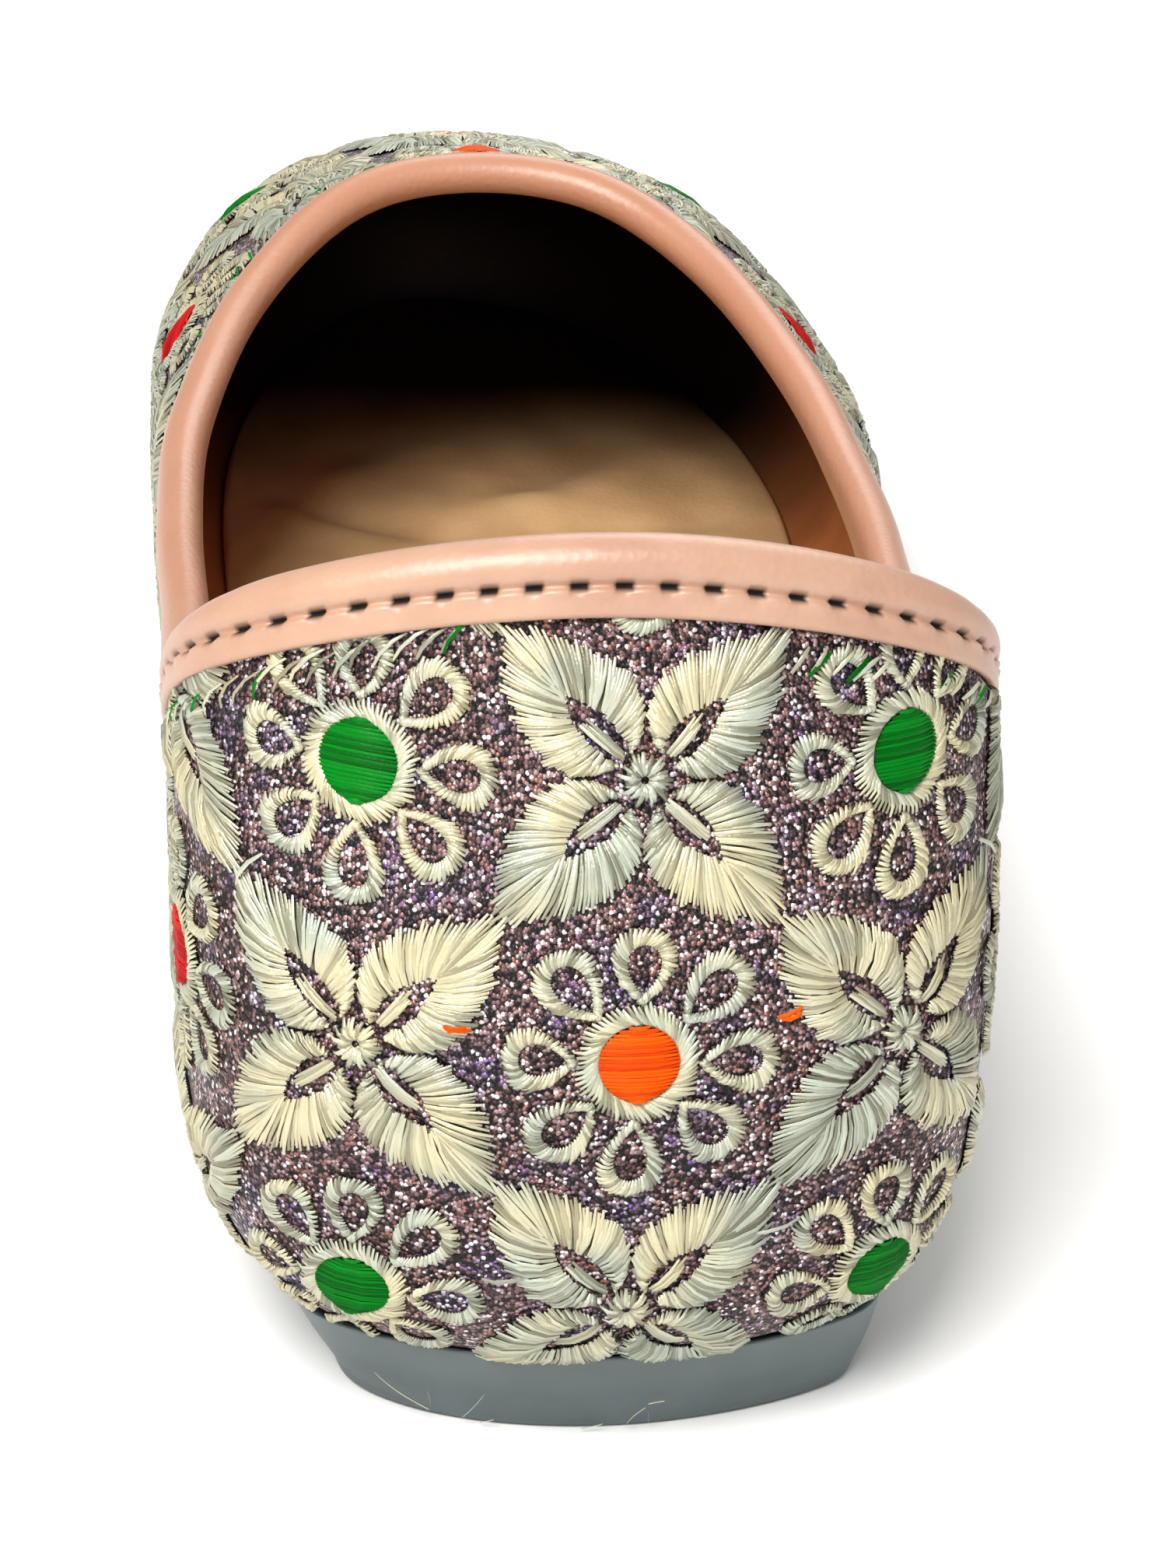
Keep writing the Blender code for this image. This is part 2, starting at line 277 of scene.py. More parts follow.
    def spline(self, places: np.ndarray) -> tuple[np.ndarray, np.ndarray]:
        """Smooth closed curve through the knots.

        Args:
            places: shares of the way round.

        Returns:
            The table's values and slopes at those places.
        """
        knots = self.knots()
        count = len(knots)
        step = 1 / count
        one = np.eye(count)
        bend = np.roll(knots, 1, 0) - 2 * knots + np.roll(knots, -1, 0)
        curvature = np.linalg.solve(4 * one + np.roll(one, 1, 0) + np.roll(one, -1, 0), 6 * bend / step ** 2)
        spot = np.mod(places, 1) / step
        first = np.floor(spot).astype(int) % count
        second = (first + 1) % count
        far = (spot - np.floor(spot))[:, None]
        near = 1 - far
        a, b, c, d = knots[first], knots[second], curvature[first], curvature[second]
        values = near * a + far * b + step ** 2 / 6 * ((near ** 3 - near) * c + (far ** 3 - far) * d)
        slopes = (b - a) / step + step / 6 * ((3 * far ** 2 - 1) * d - (3 * near ** 2 - 1) * c)
        return values, slopes

    def even_places(self, count: int) -> np.ndarray:
        """Places spread evenly along the topline.

        Args:
            count: how many places.

        Returns:
            Their shares of the way round.
        """
        fine = np.arange(4001) / 4000
        top = self.spline(fine)[0][:, 3:6]
        run = np.concatenate([[0], np.cumsum(np.linalg.norm(np.diff(top, axis=0), axis=1))])
        return np.interp(np.arange(count) / count * run[-1], run, fine)


class Ribs:
    """Ribs of the form at given places, in the shoe's own coordinates."""

    def __init__(self, form: ShoeForm, places: np.ndarray) -> None:
        """Works out the girth, topline and both curves of each rib.

        Args:
            form: the shoe's sizes.
            places: shares of the way round, one for each rib.
        """
        self.form = form
        self.places = places
        values, slopes = form.spline(places)
        self.girth, self.topline = values[:, 0:3], values[:, 3:6]
        slope, self.tuck, low, high = (values[:, column:column + 1] for column in (6, 7, 8, 9))
        self.out = unit(np.stack([slopes[:, 1], -slopes[:, 0], 0 * slopes[:, 0]], axis=-1))
        self.feather = self.on_sole(self.tuck)
        angle = math.radians(form.tuck_slope)
        reach = np.linalg.norm(self.girth - self.feather, axis=-1, keepdims=True)
        start = self.out * math.cos(angle) + UP * math.sin(angle)
        rise = np.linalg.norm(self.topline - self.girth, axis=-1, keepdims=True)
        inward = -unit(np.stack([slopes[:, 4], -slopes[:, 3], 0 * slopes[:, 3]], axis=-1))
        end = inward * np.cos(slope) + UP * np.sin(slope)
        self.tuck_curve = (self.feather, self.feather + form.tuck_low_handle * reach * start,
                           self.girth - form.tuck_high_handle * reach * UP, self.girth)
        self.wall_curve = (self.girth, self.girth + low * rise * UP,
                           self.topline - high * rise * end, self.topline)
        self.fine = np.array([bezier(self.wall_curve, share) for share in np.linspace(0, 1, form.samples)])
        steps = np.linalg.norm(np.diff(self.fine, axis=0), axis=-1)
        self.depths = np.vstack([np.cumsum(steps[::-1], axis=0)[::-1], np.zeros(len(places))])

    def on_sole(self, inset: np.ndarray | float) -> np.ndarray:
        """Ring on the sole's upper face, drawn in from the girth line."""
        ring = self.girth - self.out * inset
        ring[:, 2] = self.form.sole_top(ring[:, 1])
        return ring

    def wall_rings(self, depths: list) -> np.ndarray:
        """Rings of the wall at depths below the topline.

        Args:
            depths: one depth, or one for each rib, for each ring.

        Returns:
            Points, by ring and rib.
        """
        count = len(self.places)
        wanted = np.array([np.broadcast_to(depth, count) for depth in depths])
        rings = np.empty((len(depths), count, 3))
        for column in range(count):
            for axis in range(3):
                rings[:, column, axis] = np.interp(
                    -wanted[:, column], -self.depths[:, column], self.fine[:, column, axis])
        return rings

    def grid(self, under: float, tuck_rows: int, wall_rows: int, top_depth: float) -> np.ndarray:
        """Outer surface from under the feather edge to near the topline.

        Args:
            under: how far the cloth turns in under the feather edge.
            tuck_rows: rows below the girth.
            wall_rows: rows above it.
            top_depth: depth of the last row below the topline.

        Returns:
            Points, by row and rib.
        """
        low = [self.on_sole(self.tuck + under), self.on_sole(self.tuck + under / 2)]
        low += [bezier(self.tuck_curve, row / tuck_rows) for row in range(tuck_rows)]
        low = np.array(low)
        low[..., 2] += self.form.clearance
        lengths = self.depths[0]
        wall_depths = [lengths + (top_depth - lengths) * row / wall_rows for row in range(wall_rows + 1)]
        return np.concatenate([low, self.wall_rings(wall_depths)])


def grid_normals(points: np.ndarray, closed: bool) -> np.ndarray:
    """Outward normals of a grid whose rows climb and whose columns run counter-clockwise.

    Args:
        points: the grid, by row and column.
        closed: whether the last column joins the first.

    Returns:
        A unit normal for each point.
    """
    if closed:
        around = np.roll(points, -1, 1) - np.roll(points, 1, 1)
    else:
        around = np.gradient(points, axis=1)
    return unit(np.cross(around, np.gradient(points, axis=0)))


def creased(points: np.ndarray, normals: np.ndarray, creases: tuple[Crease, ...]) -> np.ndarray:
    """Surface with its creases pressed in.

    Args:
        points: the surface, in the shoe's own coordinates.
        normals: its unit normals.
        creases: troughs and ridges.

    Returns:
        The moved points.
    """
    relief = np.zeros(points.shape[:-1])
    for crease in creases:
        gap = points - np.array(crease.centre)
        run = gap @ np.array(crease.along)
        across = np.linalg.norm(gap - run[..., None] * np.array(crease.along), axis=-1)
        relief -= crease.depth * np.exp(-(run / crease.length) ** 2 - (across / crease.width) ** 2)
    return points + normals * relief[..., None]


def ripple(points: np.ndarray, waves: tuple[tuple[float, float, float, float], ...]) -> np.ndarray:
    """Sum of gentle sine waves.

    Args:
        points: where to read them.
        waves: for each, its size and its wave number along x, y and z.

    Returns:
        The height at each point.
    """
    total = np.zeros(points.shape[:-1])
    for size, x, y, z in waves:
        total += size * np.sin(points @ np.array([x, y, z]) + 7 * x / 100 + 3 * y / 100)
    return total


def store(mesh: bpy.types.Mesh, name: str, values: np.ndarray) -> None:
    """Stores a number for each point of a mesh."""
    mesh.attributes.new(name, "FLOAT", "POINT").data.foreach_set("value", values)


def settle(item: bpy.types.Object, modifier: bpy.types.Modifier) -> None:
    """Keeps what a modifier makes as the object's plain mesh."""
    bpy.context.view_layer.update()
    evaluated = item.evaluated_get(bpy.context.evaluated_depsgraph_get())
    mesh = bpy.data.meshes.new_from_object(evaluated)
    item.modifiers.remove(modifier)
    item.data = mesh


@dataclass
class Workshop:
    """The shared form, the place of the shoe in the frame, and what turns points into pieces."""

    form: ShoeForm
    offset: np.ndarray

    @classmethod
    def from_frame(cls, form: ShoeForm) -> "Workshop":
        """Places the shoe so that its wall lies where the frame's upper does."""
        low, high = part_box("upper")
        girth = Ribs(form, np.arange(720) / 720).girth
        middle = (girth.min(axis=0) + girth.max(axis=0)) / 2
        offset = np.array([(low[0] + high[0]) / 2 - middle[0], (low[1] + high[1]) / 2 - middle[1], 0.0])
        return cls(form, offset)

    def ribs(self, count: int) -> Ribs:
        """Ribs at even steps round the form."""
        return Ribs(self.form, np.arange(count) / count)

    def piece(self, name: str, points: np.ndarray, faces: list,
              material: bpy.types.Material) -> bpy.types.Object:
        """Object at the origin from points in the shoe's own coordinates.

        Args:
            name: the piece's name.
            points: its vertices.
            faces: its faces.
            material: its finish.

        Returns:
            The new object.
        """
        mesh = bpy.data.meshes.new(name)
        placed = np.asarray(points).reshape(-1, 3) + self.offset
        mesh.from_pydata(placed.tolist(), [], faces)
        mesh.materials.append(material)
        mesh.shade_smooth()
        item = bpy.data.objects.new(name, mesh)
        bpy.context.scene.collection.objects.link(item)
        LOG.info("%s: %d faces", name, len(faces))
        return item

    @staticmethod
    def grid_faces(rows: int, columns: int, closed: bool, loop: bool = False) -> list[tuple[int, ...]]:
        """Quads of a grid.

        Args:
            rows: number of rows.
            columns: number of columns.
            closed: whether the last column joins the first.
            loop: whether the last row joins the first.

        Returns:
            The faces, pointing out for rows that climb.
        """
        faces = []
        for row in range(rows if loop else rows - 1):
            for column in range(columns if closed else columns - 1):
                after = (column + 1) % columns
                low, high = row * columns, (row + 1) % rows * columns
                faces.append((low + column, low + after, high + after, high + column))
        return faces


class Signal:
    """A shader socket that adds Math nodes when it is used in arithmetic."""

    def __init__(self, sketch: "NodeSketch", socket: bpy.types.NodeSocket) -> None:
        """Wraps a socket of a tree."""
        self.sketch = sketch
        self.socket = socket

    def _math(self, operation: str, first: object, second: object, clamp: bool = False) -> "Signal":
        """Adds one Math node and returns its result."""
        node = self.sketch.node("ShaderNodeMath", {"operation": operation, "use_clamp": clamp},
                                {0: first, 1: second})
        return Signal(self.sketch, node.outputs[0])

    def __add__(self, other: object) -> "Signal":
        """Sum."""
        return self._math("ADD", self, other)

    __radd__ = __add__

    def __sub__(self, other: object) -> "Signal":
        """Difference."""
        return self._math("SUBTRACT", self, other)

    def __rsub__(self, other: object) -> "Signal":
        """Difference from a value."""
        return self._math("SUBTRACT", other, self)

    def __mul__(self, other: object) -> "Signal":
        """Product."""
        return self._math("MULTIPLY", self, other)

    __rmul__ = __mul__

    def __truediv__(self, other: object) -> "Signal":
        """Quotient."""
        return self._math("DIVIDE", self, other)

    def step(self, start: float, end: float) -> "Signal":
        """Share of the way from start to end, held between 0 and 1."""
        return self._math("ADD", (self - start) / (end - start), 0.0, clamp=True)


class NodeSketch:
    """A node tree under construction, for a shader or for geometry."""

    def __init__(self, tree: bpy.types.NodeTree) -> None:
        """Starts on a tree."""
        self.tree = tree

    def node(self, kind: str, settings: dict | None = None, inputs: dict | None = None) -> bpy.types.Node:
        """Adds a node.

        Args:
            kind: the node's type.
            settings: its properties; stops gives a ramp's positions and colours.
            inputs: values or links for its sockets, by name or number.

        Returns:
            The node.
        """
        node = self.tree.nodes.new(kind)
        for name, value in (settings or {}).items():
            if name == "stops":
                self._set_stops(node.color_ramp, value)
            else:
                setattr(node, name, value)
        for name, value in (inputs or {}).items():
            self.feed(node.inputs[name], value)
        return node

    def feed(self, socket: bpy.types.NodeSocket, value: object) -> None:
        """Links a signal or socket to a socket, or sets its value."""
        if isinstance(value, Signal):
            value = value.socket
        if isinstance(value, bpy.types.NodeSocket):
            self.tree.links.new(value, socket)
        elif value is not None:
            socket.default_value = value

    @staticmethod
    def _set_stops(ramp: bpy.types.ColorRamp, stops: tuple) -> None:
        """Sets a ramp's stops."""
        while len(ramp.elements) > 1:
            ramp.elements.remove(ramp.elements[-1])
        for index, (position, colour) in enumerate(stops):
            element = ramp.elements[0] if index == 0 else ramp.elements.new(position)
            element.position = position
            element.color = (*colour, 1.0)


class Finish(NodeSketch):
    """A Principled material under construction."""

    def __init__(self, name: str, **sockets: object) -> None:
        """Starts a material.

        Args:
            name: its name.
            sockets: constants of the shader, with underscores for spaces.
        """
        self.material = bpy.data.materials.new(name)
        self.material.use_nodes = True
        super().__init__(self.material.node_tree)
        self.shader = self.tree.nodes["Principled BSDF"]
        for socket, value in sockets.items():
            self.shader.inputs[socket.replace("_", " ")].default_value = value

    def place(self) -> bpy.types.NodeSocket:
        """Object coordinates, in metres."""
        return self.node("ShaderNodeTexCoord").outputs["Object"]

    def axis(self, letter: str) -> Signal:
        """One of the object coordinates."""
        parts = self.node("ShaderNodeSeparateXYZ", inputs={"Vector": self.place()})
        return Signal(self, parts.outputs[letter])

    def attribute(self, name: str) -> Signal:
        """A number stored on the mesh."""
        return Signal(self, self.node("ShaderNodeAttribute", {"attribute_name": name}).outputs["Fac"])

    def noise(self, size: float, detail: float = 2.0) -> Signal:
        """Soft noise whose features measure about size, in metres."""
        node = self.node("ShaderNodeTexNoise", inputs={
            "Vector": self.place(), "Scale": 1 / size, "Detail": detail})
        return Signal(self, node.outputs["Fac"])

    def cells(self, size: float) -> tuple[Signal, Signal]:
        """Cells of a given size.

        Args:
            size: distance between cell centres, in metres.

        Returns:
            The distance to the cell's centre, and a random number for each cell.
        """
        node = self.node("ShaderNodeTexVoronoi", inputs={"Vector": self.place(), "Scale": 1 / size})
        colour = self.node("ShaderNodeSeparateColor", inputs={"Color": node.outputs["Color"]})
        return Signal(self, node.outputs["Distance"]), Signal(self, colour.outputs["Red"])

    def palette(self, factor: Signal, stops: tuple) -> Signal:
        """Colour of a ramp whose colours change at once.

        Args:
            factor: where to read it.
            stops: positions and colours.

        Returns:
            The colour.
        """
        node = self.node("ShaderNodeValToRGB", {"stops": stops}, {"Fac": factor})
        node.color_ramp.interpolation = "CONSTANT"
        return Signal(self, node.outputs["Color"])

    def mix(self, factor: object, first: object, second: object) -> Signal:
        """Colour between two colours."""
        colours = [(*item, 1.0) if isinstance(item, tuple) else item for item in (first, second)]
        node = self.node("ShaderNodeMix", {"data_type": "RGBA"}, {0: factor, 6: colours[0], 7: colours[1]})
        return Signal(self, node.outputs[2])

    def bump(self, height: Signal, depth: float, strength: float = 1.0) -> Signal:
        """Normal of a height that spans 0 to 1.

        Args:
            height: the relief.
            depth: how deep it is, in metres.
            strength: share of it that shows.

        Returns:
            The normal.
        """
        node = self.node("ShaderNodeBump", inputs={
            "Height": height, "Distance": depth, "Strength": strength})
        return Signal(self, node.outputs["Normal"])

    def dress(self, **sockets: object) -> bpy.types.Material:
        """Links signals to the shader and returns the material."""
        for socket, value in sockets.items():
            self.feed(self.shader.inputs[socket.replace("_", " ")], value)
        return self.material


@dataclass(frozen=True)
class GlitterCloth:
    """Ground of the embroidery: mauve-brown cloth crusted with glitter."""

    grain: float = 0.00032
    grain_depth: float = 0.00025
    patch: float = 0.0035
    gap: tuple[float, float, float] = (0.006, 0.003, 0.004)
    warm: tuple = (
        (0.0, (0.010, 0.006, 0.006)), (0.28, (0.085, 0.040, 0.038)), (0.50, (0.21, 0.115, 0.11)),
        (0.70, (0.42, 0.28, 0.28)), (0.86, (0.88, 0.78, 0.78)), (0.95, (0.36, 0.15, 0.11)))
    cool: tuple = (
        (0.0, (0.008, 0.006, 0.009)), (0.28, (0.055, 0.034, 0.055)), (0.50, (0.16, 0.10, 0.15)),
        (0.70, (0.36, 0.28, 0.38)), (0.86, (0.84, 0.80, 0.90)), (0.95, (0.20, 0.10, 0.42)))

    def material(self) -> bpy.types.Material:
        """Builds the finish."""
        finish = Finish("glitter_cloth", Metallic=0.35)
        distance, chance = finish.cells(self.grain)
        patch = finish.noise(self.patch)
        warm, cool = finish.palette(chance, self.warm), finish.palette(chance, self.cool)
        colour = finish.mix(patch.step(0.50, 0.66), warm, cool)
        colour = finish.mix(distance.step(0.50, 0.76), colour, self.gap)
        normal = finish.bump(1.0 - distance, self.grain_depth, 0.9)
        return finish.dress(Base_Color=colour, Roughness=0.55 - chance * 0.30, Normal=normal)


@dataclass(frozen=True)
class ThreadFinish:
    """Embroidery thread of one colour, with lighter and darker strands at random, painted sheen from cool to
    light, and painted shade in deep.
    """

    name: str
    # light and cool are painted sheen colours, swapped by slow noise; deep is painted shade, taken by
    # low-tone strands and by the padding between threads.
    light: tuple[float, float, float]
    cool: tuple[float, float, float]
    deep: tuple[float, float, float]
    metallic: float = 0.0
    gloss: float = 0.08
    painted_sheen_drift: float = 0.008
    twist: float = 0.00022
    twist_depth: float = 0.00008

    def material(self) -> bpy.types.Material:
        """Builds the finish."""
        finish = Finish(self.name, Metallic=self.metallic, Specular_IOR_Level=self.gloss)
        tone = finish.attribute("tone")
        # Slow noise swaps the painted sheen between cool and light; strand tone and noise pull the colour
        # towards the painted shade of deep.
        painted_sheen_drift = finish.noise(self.painted_sheen_drift, 1.0)
        painted_sheen_colour = finish.mix(painted_sheen_drift.step(0.38, 0.62), self.cool, self.light)
        share = tone * 0.85 + (painted_sheen_drift - 0.5) * 0.5
        colour = finish.mix(share.step(0.0, 0.62), self.deep, painted_sheen_colour)
        twist = finish.noise(self.twist, 1.0)
        normal = finish.bump(twist, self.twist_depth, 0.5)
        return finish.dress(Base_Color=colour, Roughness=0.40 + (twist - 0.5) * 0.25, Normal=normal)


@dataclass(frozen=True)
class SmoothLeather:
    """Leather with fine grain and soft gloss, painted shade in its stitch holes, and an optional painted
    light and shade gradient along Y.
    """

    name: str
    light: tuple[float, float, float]
    deep: tuple[float, float, float]
    roughness: float
    cloud: float = 0.011
    grain: float = 0.0007
    grain_depth: float = 0.00006
    # Share of the deep colour left in the stitch holes: painted shade inside them.
    hole_shade_share: float = 0.03
    coat: float = 0.0
    # far: a colour blended in towards +Y from the start over the reach, up to the share; a painted light and
    # shade gradient.
    far: tuple[float, float, float] | None = None
    painted_light_from: float = 0.0
    painted_light_reach: float = 0.035
    painted_light_share: float = 1.0

    def material(self) -> bpy.types.Material:
        """Builds the finish."""
        finish = Finish(self.name, Coat_Weight=self.coat, Coat_Roughness=0.35)
        cloud = finish.noise(self.cloud, 3.0)
        pores, chance = finish.cells(self.grain)
        hole = finish.attribute("hole")
        colour = finish.mix(cloud.step(0.30, 0.72), self.deep, self.light)
        # Painted light and shade: the colour turns to far towards +Y.
        if self.far:
            painted_light_mix = finish.axis("Y").step(self.painted_light_from, self.painted_light_from + self.painted_light_reach) * self.painted_light_share
            colour = finish.mix(painted_light_mix, colour, self.far)
        # Painted shade: the stitch holes turn nearly black.
        colour = finish.mix(hole, colour, tuple(self.hole_shade_share * part for part in self.deep))
        rough = self.roughness + (cloud - 0.5) * 0.18 + chance * 0.05
        normal = finish.bump(pores, self.grain_depth, 0.6)
        if self.coat:
            finish.dress(Coat_Weight=(1.0 - hole) * self.coat)
        return finish.dress(Base_Color=colour, Roughness=rough + hole * 0.5, Normal=normal)


@dataclass(frozen=True)
class MouldedRubber:
    """Smooth grey-green sole with a faint bloom, paler towards its upper edge."""

    bloom: float = 0.013
    speck: float = 0.0006
    deep: tuple[float, float, float] = (0.052, 0.076, 0.078)
    light: tuple[float, float, float] = (0.088, 0.116, 0.122)
    upper: tuple[float, float, float] = (0.14, 0.172, 0.172)
    upper_from: float = 0.0040
    upper_full: float = 0.0078

    def material(self) -> bpy.types.Material:
        """Builds the finish."""
        finish = Finish("moulded_rubber", Subsurface_Weight=0.25, Subsurface_Scale=0.004,
                        Subsurface_Radius=(0.6, 0.9, 1.0))
        bloom = finish.noise(self.bloom, 3.0)
        height = finish.axis("Z").step(self.upper_from, self.upper_full)
        colour = finish.mix(bloom.step(0.30, 0.75), self.deep, self.light)
        colour = finish.mix(height * 0.5, colour, self.upper)
        normal = finish.bump(finish.noise(self.speck, 1.0), 0.00003, 0.5)
        return finish.dress(Base_Color=colour, Roughness=0.36 + bloom * 0.18, Normal=normal)


@dataclass(frozen=True)
class StudioPaper:
    """Plain pale floor."""

    def material(self) -> bpy.types.Material:
        """Builds the finish."""
        finish = Finish("studio_paper", Roughness=0.9)
        tone = finish.noise(0.5, 1.0)
        return finish.dress(Base_Color=finish.mix(tone, (0.93, 0.93, 0.93), (0.96, 0.96, 0.96)))


# For each thread, light and cool are painted sheen and deep is painted shade.
THREADS = {
    "cream": ThreadFinish("champagne_thread", light=(0.60, 0.55, 0.36), cool=(0.46, 0.50, 0.41),
                          deep=(0.085, 0.072, 0.03), metallic=0.30, gloss=0.5),
    "green": ThreadFinish("green_silk", light=(0.0, 0.19, 0.010), cool=(0.0, 0.16, 0.008),
                          deep=(0.0, 0.035, 0.002)),
    "orange": ThreadFinish("orange_silk", light=(0.90, 0.095, 0.0), cool=(0.86, 0.08, 0.0),
                           deep=(0.42, 0.025, 0.0)),
    "red": ThreadFinish("red_silk", light=(0.60, 0.012, 0.008), cool=(0.52, 0.01, 0.008),
                        deep=(0.18, 0.002, 0.002)),
}
# Lining: far is painted shade that darkens the toe box.
LINING_LEATHER = SmoothLeather("lining_leather", light=(0.50, 0.18, 0.052), deep=(0.38, 0.125, 0.034),
                               roughness=0.6, far=(0.010, 0.004, 0.002), painted_light_from=0.040, painted_light_reach=0.045)
# Binding: the pale light colour round the heel's back is painted sheen; far is the fuller tone of the sides
# and front.
PEACH_LEATHER = SmoothLeather("peach_leather", light=(0.55, 0.35, 0.245), deep=(0.43, 0.245, 0.165),
                              roughness=0.40, coat=0.35, far=(0.47, 0.205, 0.112), painted_light_from=-0.118,
                              painted_light_reach=0.045, painted_light_share=0.8)
# Insole: far is painted shade under the vamp, nearly black towards the toe.
INSOLE_LEATHER = SmoothLeather("insole_leather", light=(0.72, 0.47, 0.235), deep=(0.54, 0.33, 0.150),
                               roughness=0.55, far=(0.020, 0.010, 0.004), painted_light_from=0.062, painted_light_reach=0.03)


class GeometrySketch(NodeSketch):
    """A Geometry Nodes tree under construction, with named inputs."""

    KINDS = {"object": "NodeSocketObject", "material": "NodeSocketMaterial"}

    def __init__(self, name: str, inputs: dict[str, str]) -> None:
        """Starts a tree.

        Args:
            name: its name.
            inputs: the kind of each named input.
        """
        tree = bpy.data.node_groups.new(name, "GeometryNodeTree")
        super().__init__(tree)
        tree.interface.new_socket("Geometry", in_out="INPUT", socket_type="NodeSocketGeometry")
        self.identifiers = {}
        for label, kind in inputs.items():
            socket = tree.interface.new_socket(label, in_out="INPUT", socket_type=self.KINDS[kind])
            self.identifiers[label] = socket.identifier
        tree.interface.new_socket("Geometry", in_out="OUTPUT", socket_type="NodeSocketGeometry")
        self.source = self.node("NodeGroupInput")
        self.sink = self.node("NodeGroupOutput")

    def given(self, label: str) -> bpy.types.NodeSocket:
        """Socket of a named input."""
        return self.source.outputs[label]

    def named(self, name: str, kind: str = "FLOAT") -> bpy.types.NodeSocket:
        """A stored attribute."""
        return self.node("GeometryNodeInputNamedAttribute", {"data_type": kind}, {"Name": name}).outputs[0]

    def object_mesh(self, label: str) -> bpy.types.NodeSocket:
        """Geometry of the object given as a named input."""
        return self.node("GeometryNodeObjectInfo", inputs={"Object": self.given(label)}).outputs["Geometry"]

    def finish(self, geometry: bpy.types.NodeSocket) -> None:
        """Ends the tree: instances are realized and the material is set."""
        real = self.node("GeometryNodeRealizeInstances", inputs={"Geometry": geometry})
        dressed = self.node("GeometryNodeSetMaterial", inputs={
            "Geometry": real.outputs["Geometry"], "Material": self.given("Material")})
        self.feed(self.sink.inputs["Geometry"], dressed.outputs["Geometry"])

    def grow(self, name: str, values: dict[str, object]) -> bpy.types.Object:
        """Runs the tree and keeps its result as a plain mesh.

        Args:
            name: the new piece's name.
            values: what the named inputs hold.

        Returns:
            An object at the origin.
        """
        host = bpy.data.objects.new(name, bpy.data.meshes.new(name))
        bpy.context.scene.collection.objects.link(host)
        modifier = host.modifiers.new("build", "NODES")
        modifier.node_group = self.tree
        for label, value in values.items():
            modifier[self.identifiers[label]] = value
        settle(host, modifier)
        host.data.shade_smooth()
        return host


class ThreadBank:
    """Threads drawn flat on the cloth: x and y on it, z over it."""

    SHARES = np.array([0.0, 0.3, 0.68, 1.0])
    RISE = np.array([0.12, 0.95, 1.0, 0.15])
    TAPER = np.array([0.75, 1.0, 1.0, 0.6])
    ROUNDNESS = 0.42
    # Random tone of each strand; low tones pull the strand towards its finish's painted shade.
    TONES = (0.2, 1.0)
    POINTS_PER_THREAD = 12

    def __init__(self, seed: int) -> None:
        """Starts an empty bank with its own random numbers."""
        self.random = np.random.default_rng(seed)
        self.points: list[np.ndarray] = []
        self.tones: list[np.ndarray] = []
        self.faces: list[tuple[int, ...]] = []
        self.count = 0

    def sew(self, starts: np.ndarray, ends: np.ndarray, peak: float, width: float, bow: float = 0.0,
            floor: float = 0.00012) -> None:
        """Adds one thread between each start and end.

        Args:
            starts: where the threads come up.
            ends: where they go down.
            peak: height of their middle over the cloth.
            width: width of a thread.
            bow: sideways bend of the middle, as a share of the length.
            floor: height of their ends.
        """
        count = len(starts)
        shares = self.SHARES
        run = ends - starts
        side = unit(np.stack([-run[:, 1], run[:, 0]], axis=-1))
        bend = (4 * shares * (1 - shares))[:, None, None] * side * np.linalg.norm(run, axis=1)[:, None] * bow
        line = starts + shares[:, None, None] * run + bend
        lift = floor + self.RISE[:, None] * peak * self.random.uniform(0.8, 1.15, count)
        half = width / 2 * self.TAPER[:, None, None] * side * self.random.uniform(0.85, 1.2, count)[:, None]
        left = np.dstack([line - half, lift[..., None]])
        right = np.dstack([line + half, lift[..., None]])
        ridge = np.dstack([line, lift[..., None] + self.ROUNDNESS * width])
        block = np.stack([left, ridge, right], axis=2).transpose(1, 0, 2, 3).reshape(-1, 3)
        for thread in range(count):
            first = self.count + self.POINTS_PER_THREAD * thread
            for step in range(3):
                for lane in range(2):
                    corner = first + 3 * step + lane
                    self.faces.append((corner, corner + 3, corner + 4, corner + 1))
        self.points.append(block)
        self.tones.append(np.repeat(self.random.uniform(*self.TONES, count), self.POINTS_PER_THREAD))
        self.count += len(block)

    def pad(self, inner: np.ndarray, outer: np.ndarray, height: float, closed: bool) -> None:
        """Adds a flat band of padding between two outlines.

        Args:
            inner: its inner outline.
            outer: its outer outline.
            height: its height over the cloth.
            closed: whether the band closes on itself.
        """
        count = len(inner)
        flat = np.concatenate([inner, outer])
        self.points.append(np.column_stack([flat, np.full(2 * count, height)]))
        # Padding gets tone 0, so between the threads it shows the finish's painted shade.
        self.tones.append(np.zeros(2 * count))
        for index in range(count if closed else count - 1):
            after = (index + 1) % count
            low, high = self.count, self.count + count
            self.faces.append((low + index, high + index, high + after, low + after))
        self.count += 2 * count

    def motif(self, name: str) -> bpy.types.Object:
        """Turns the bank into a hidden flat mesh."""
        mesh = bpy.data.meshes.new(name)
        mesh.from_pydata(np.concatenate(self.points).tolist(), [], self.faces)
        store(mesh, "tone", np.concatenate(self.tones))
        return bpy.data.objects.new(name, mesh)


def turned(points: np.ndarray, angle: float) -> np.ndarray:
    """Flat points turned round the origin."""
    c, s = math.cos(angle), math.sin(angle)
    return points @ np.array([[c, s], [-s, c]])


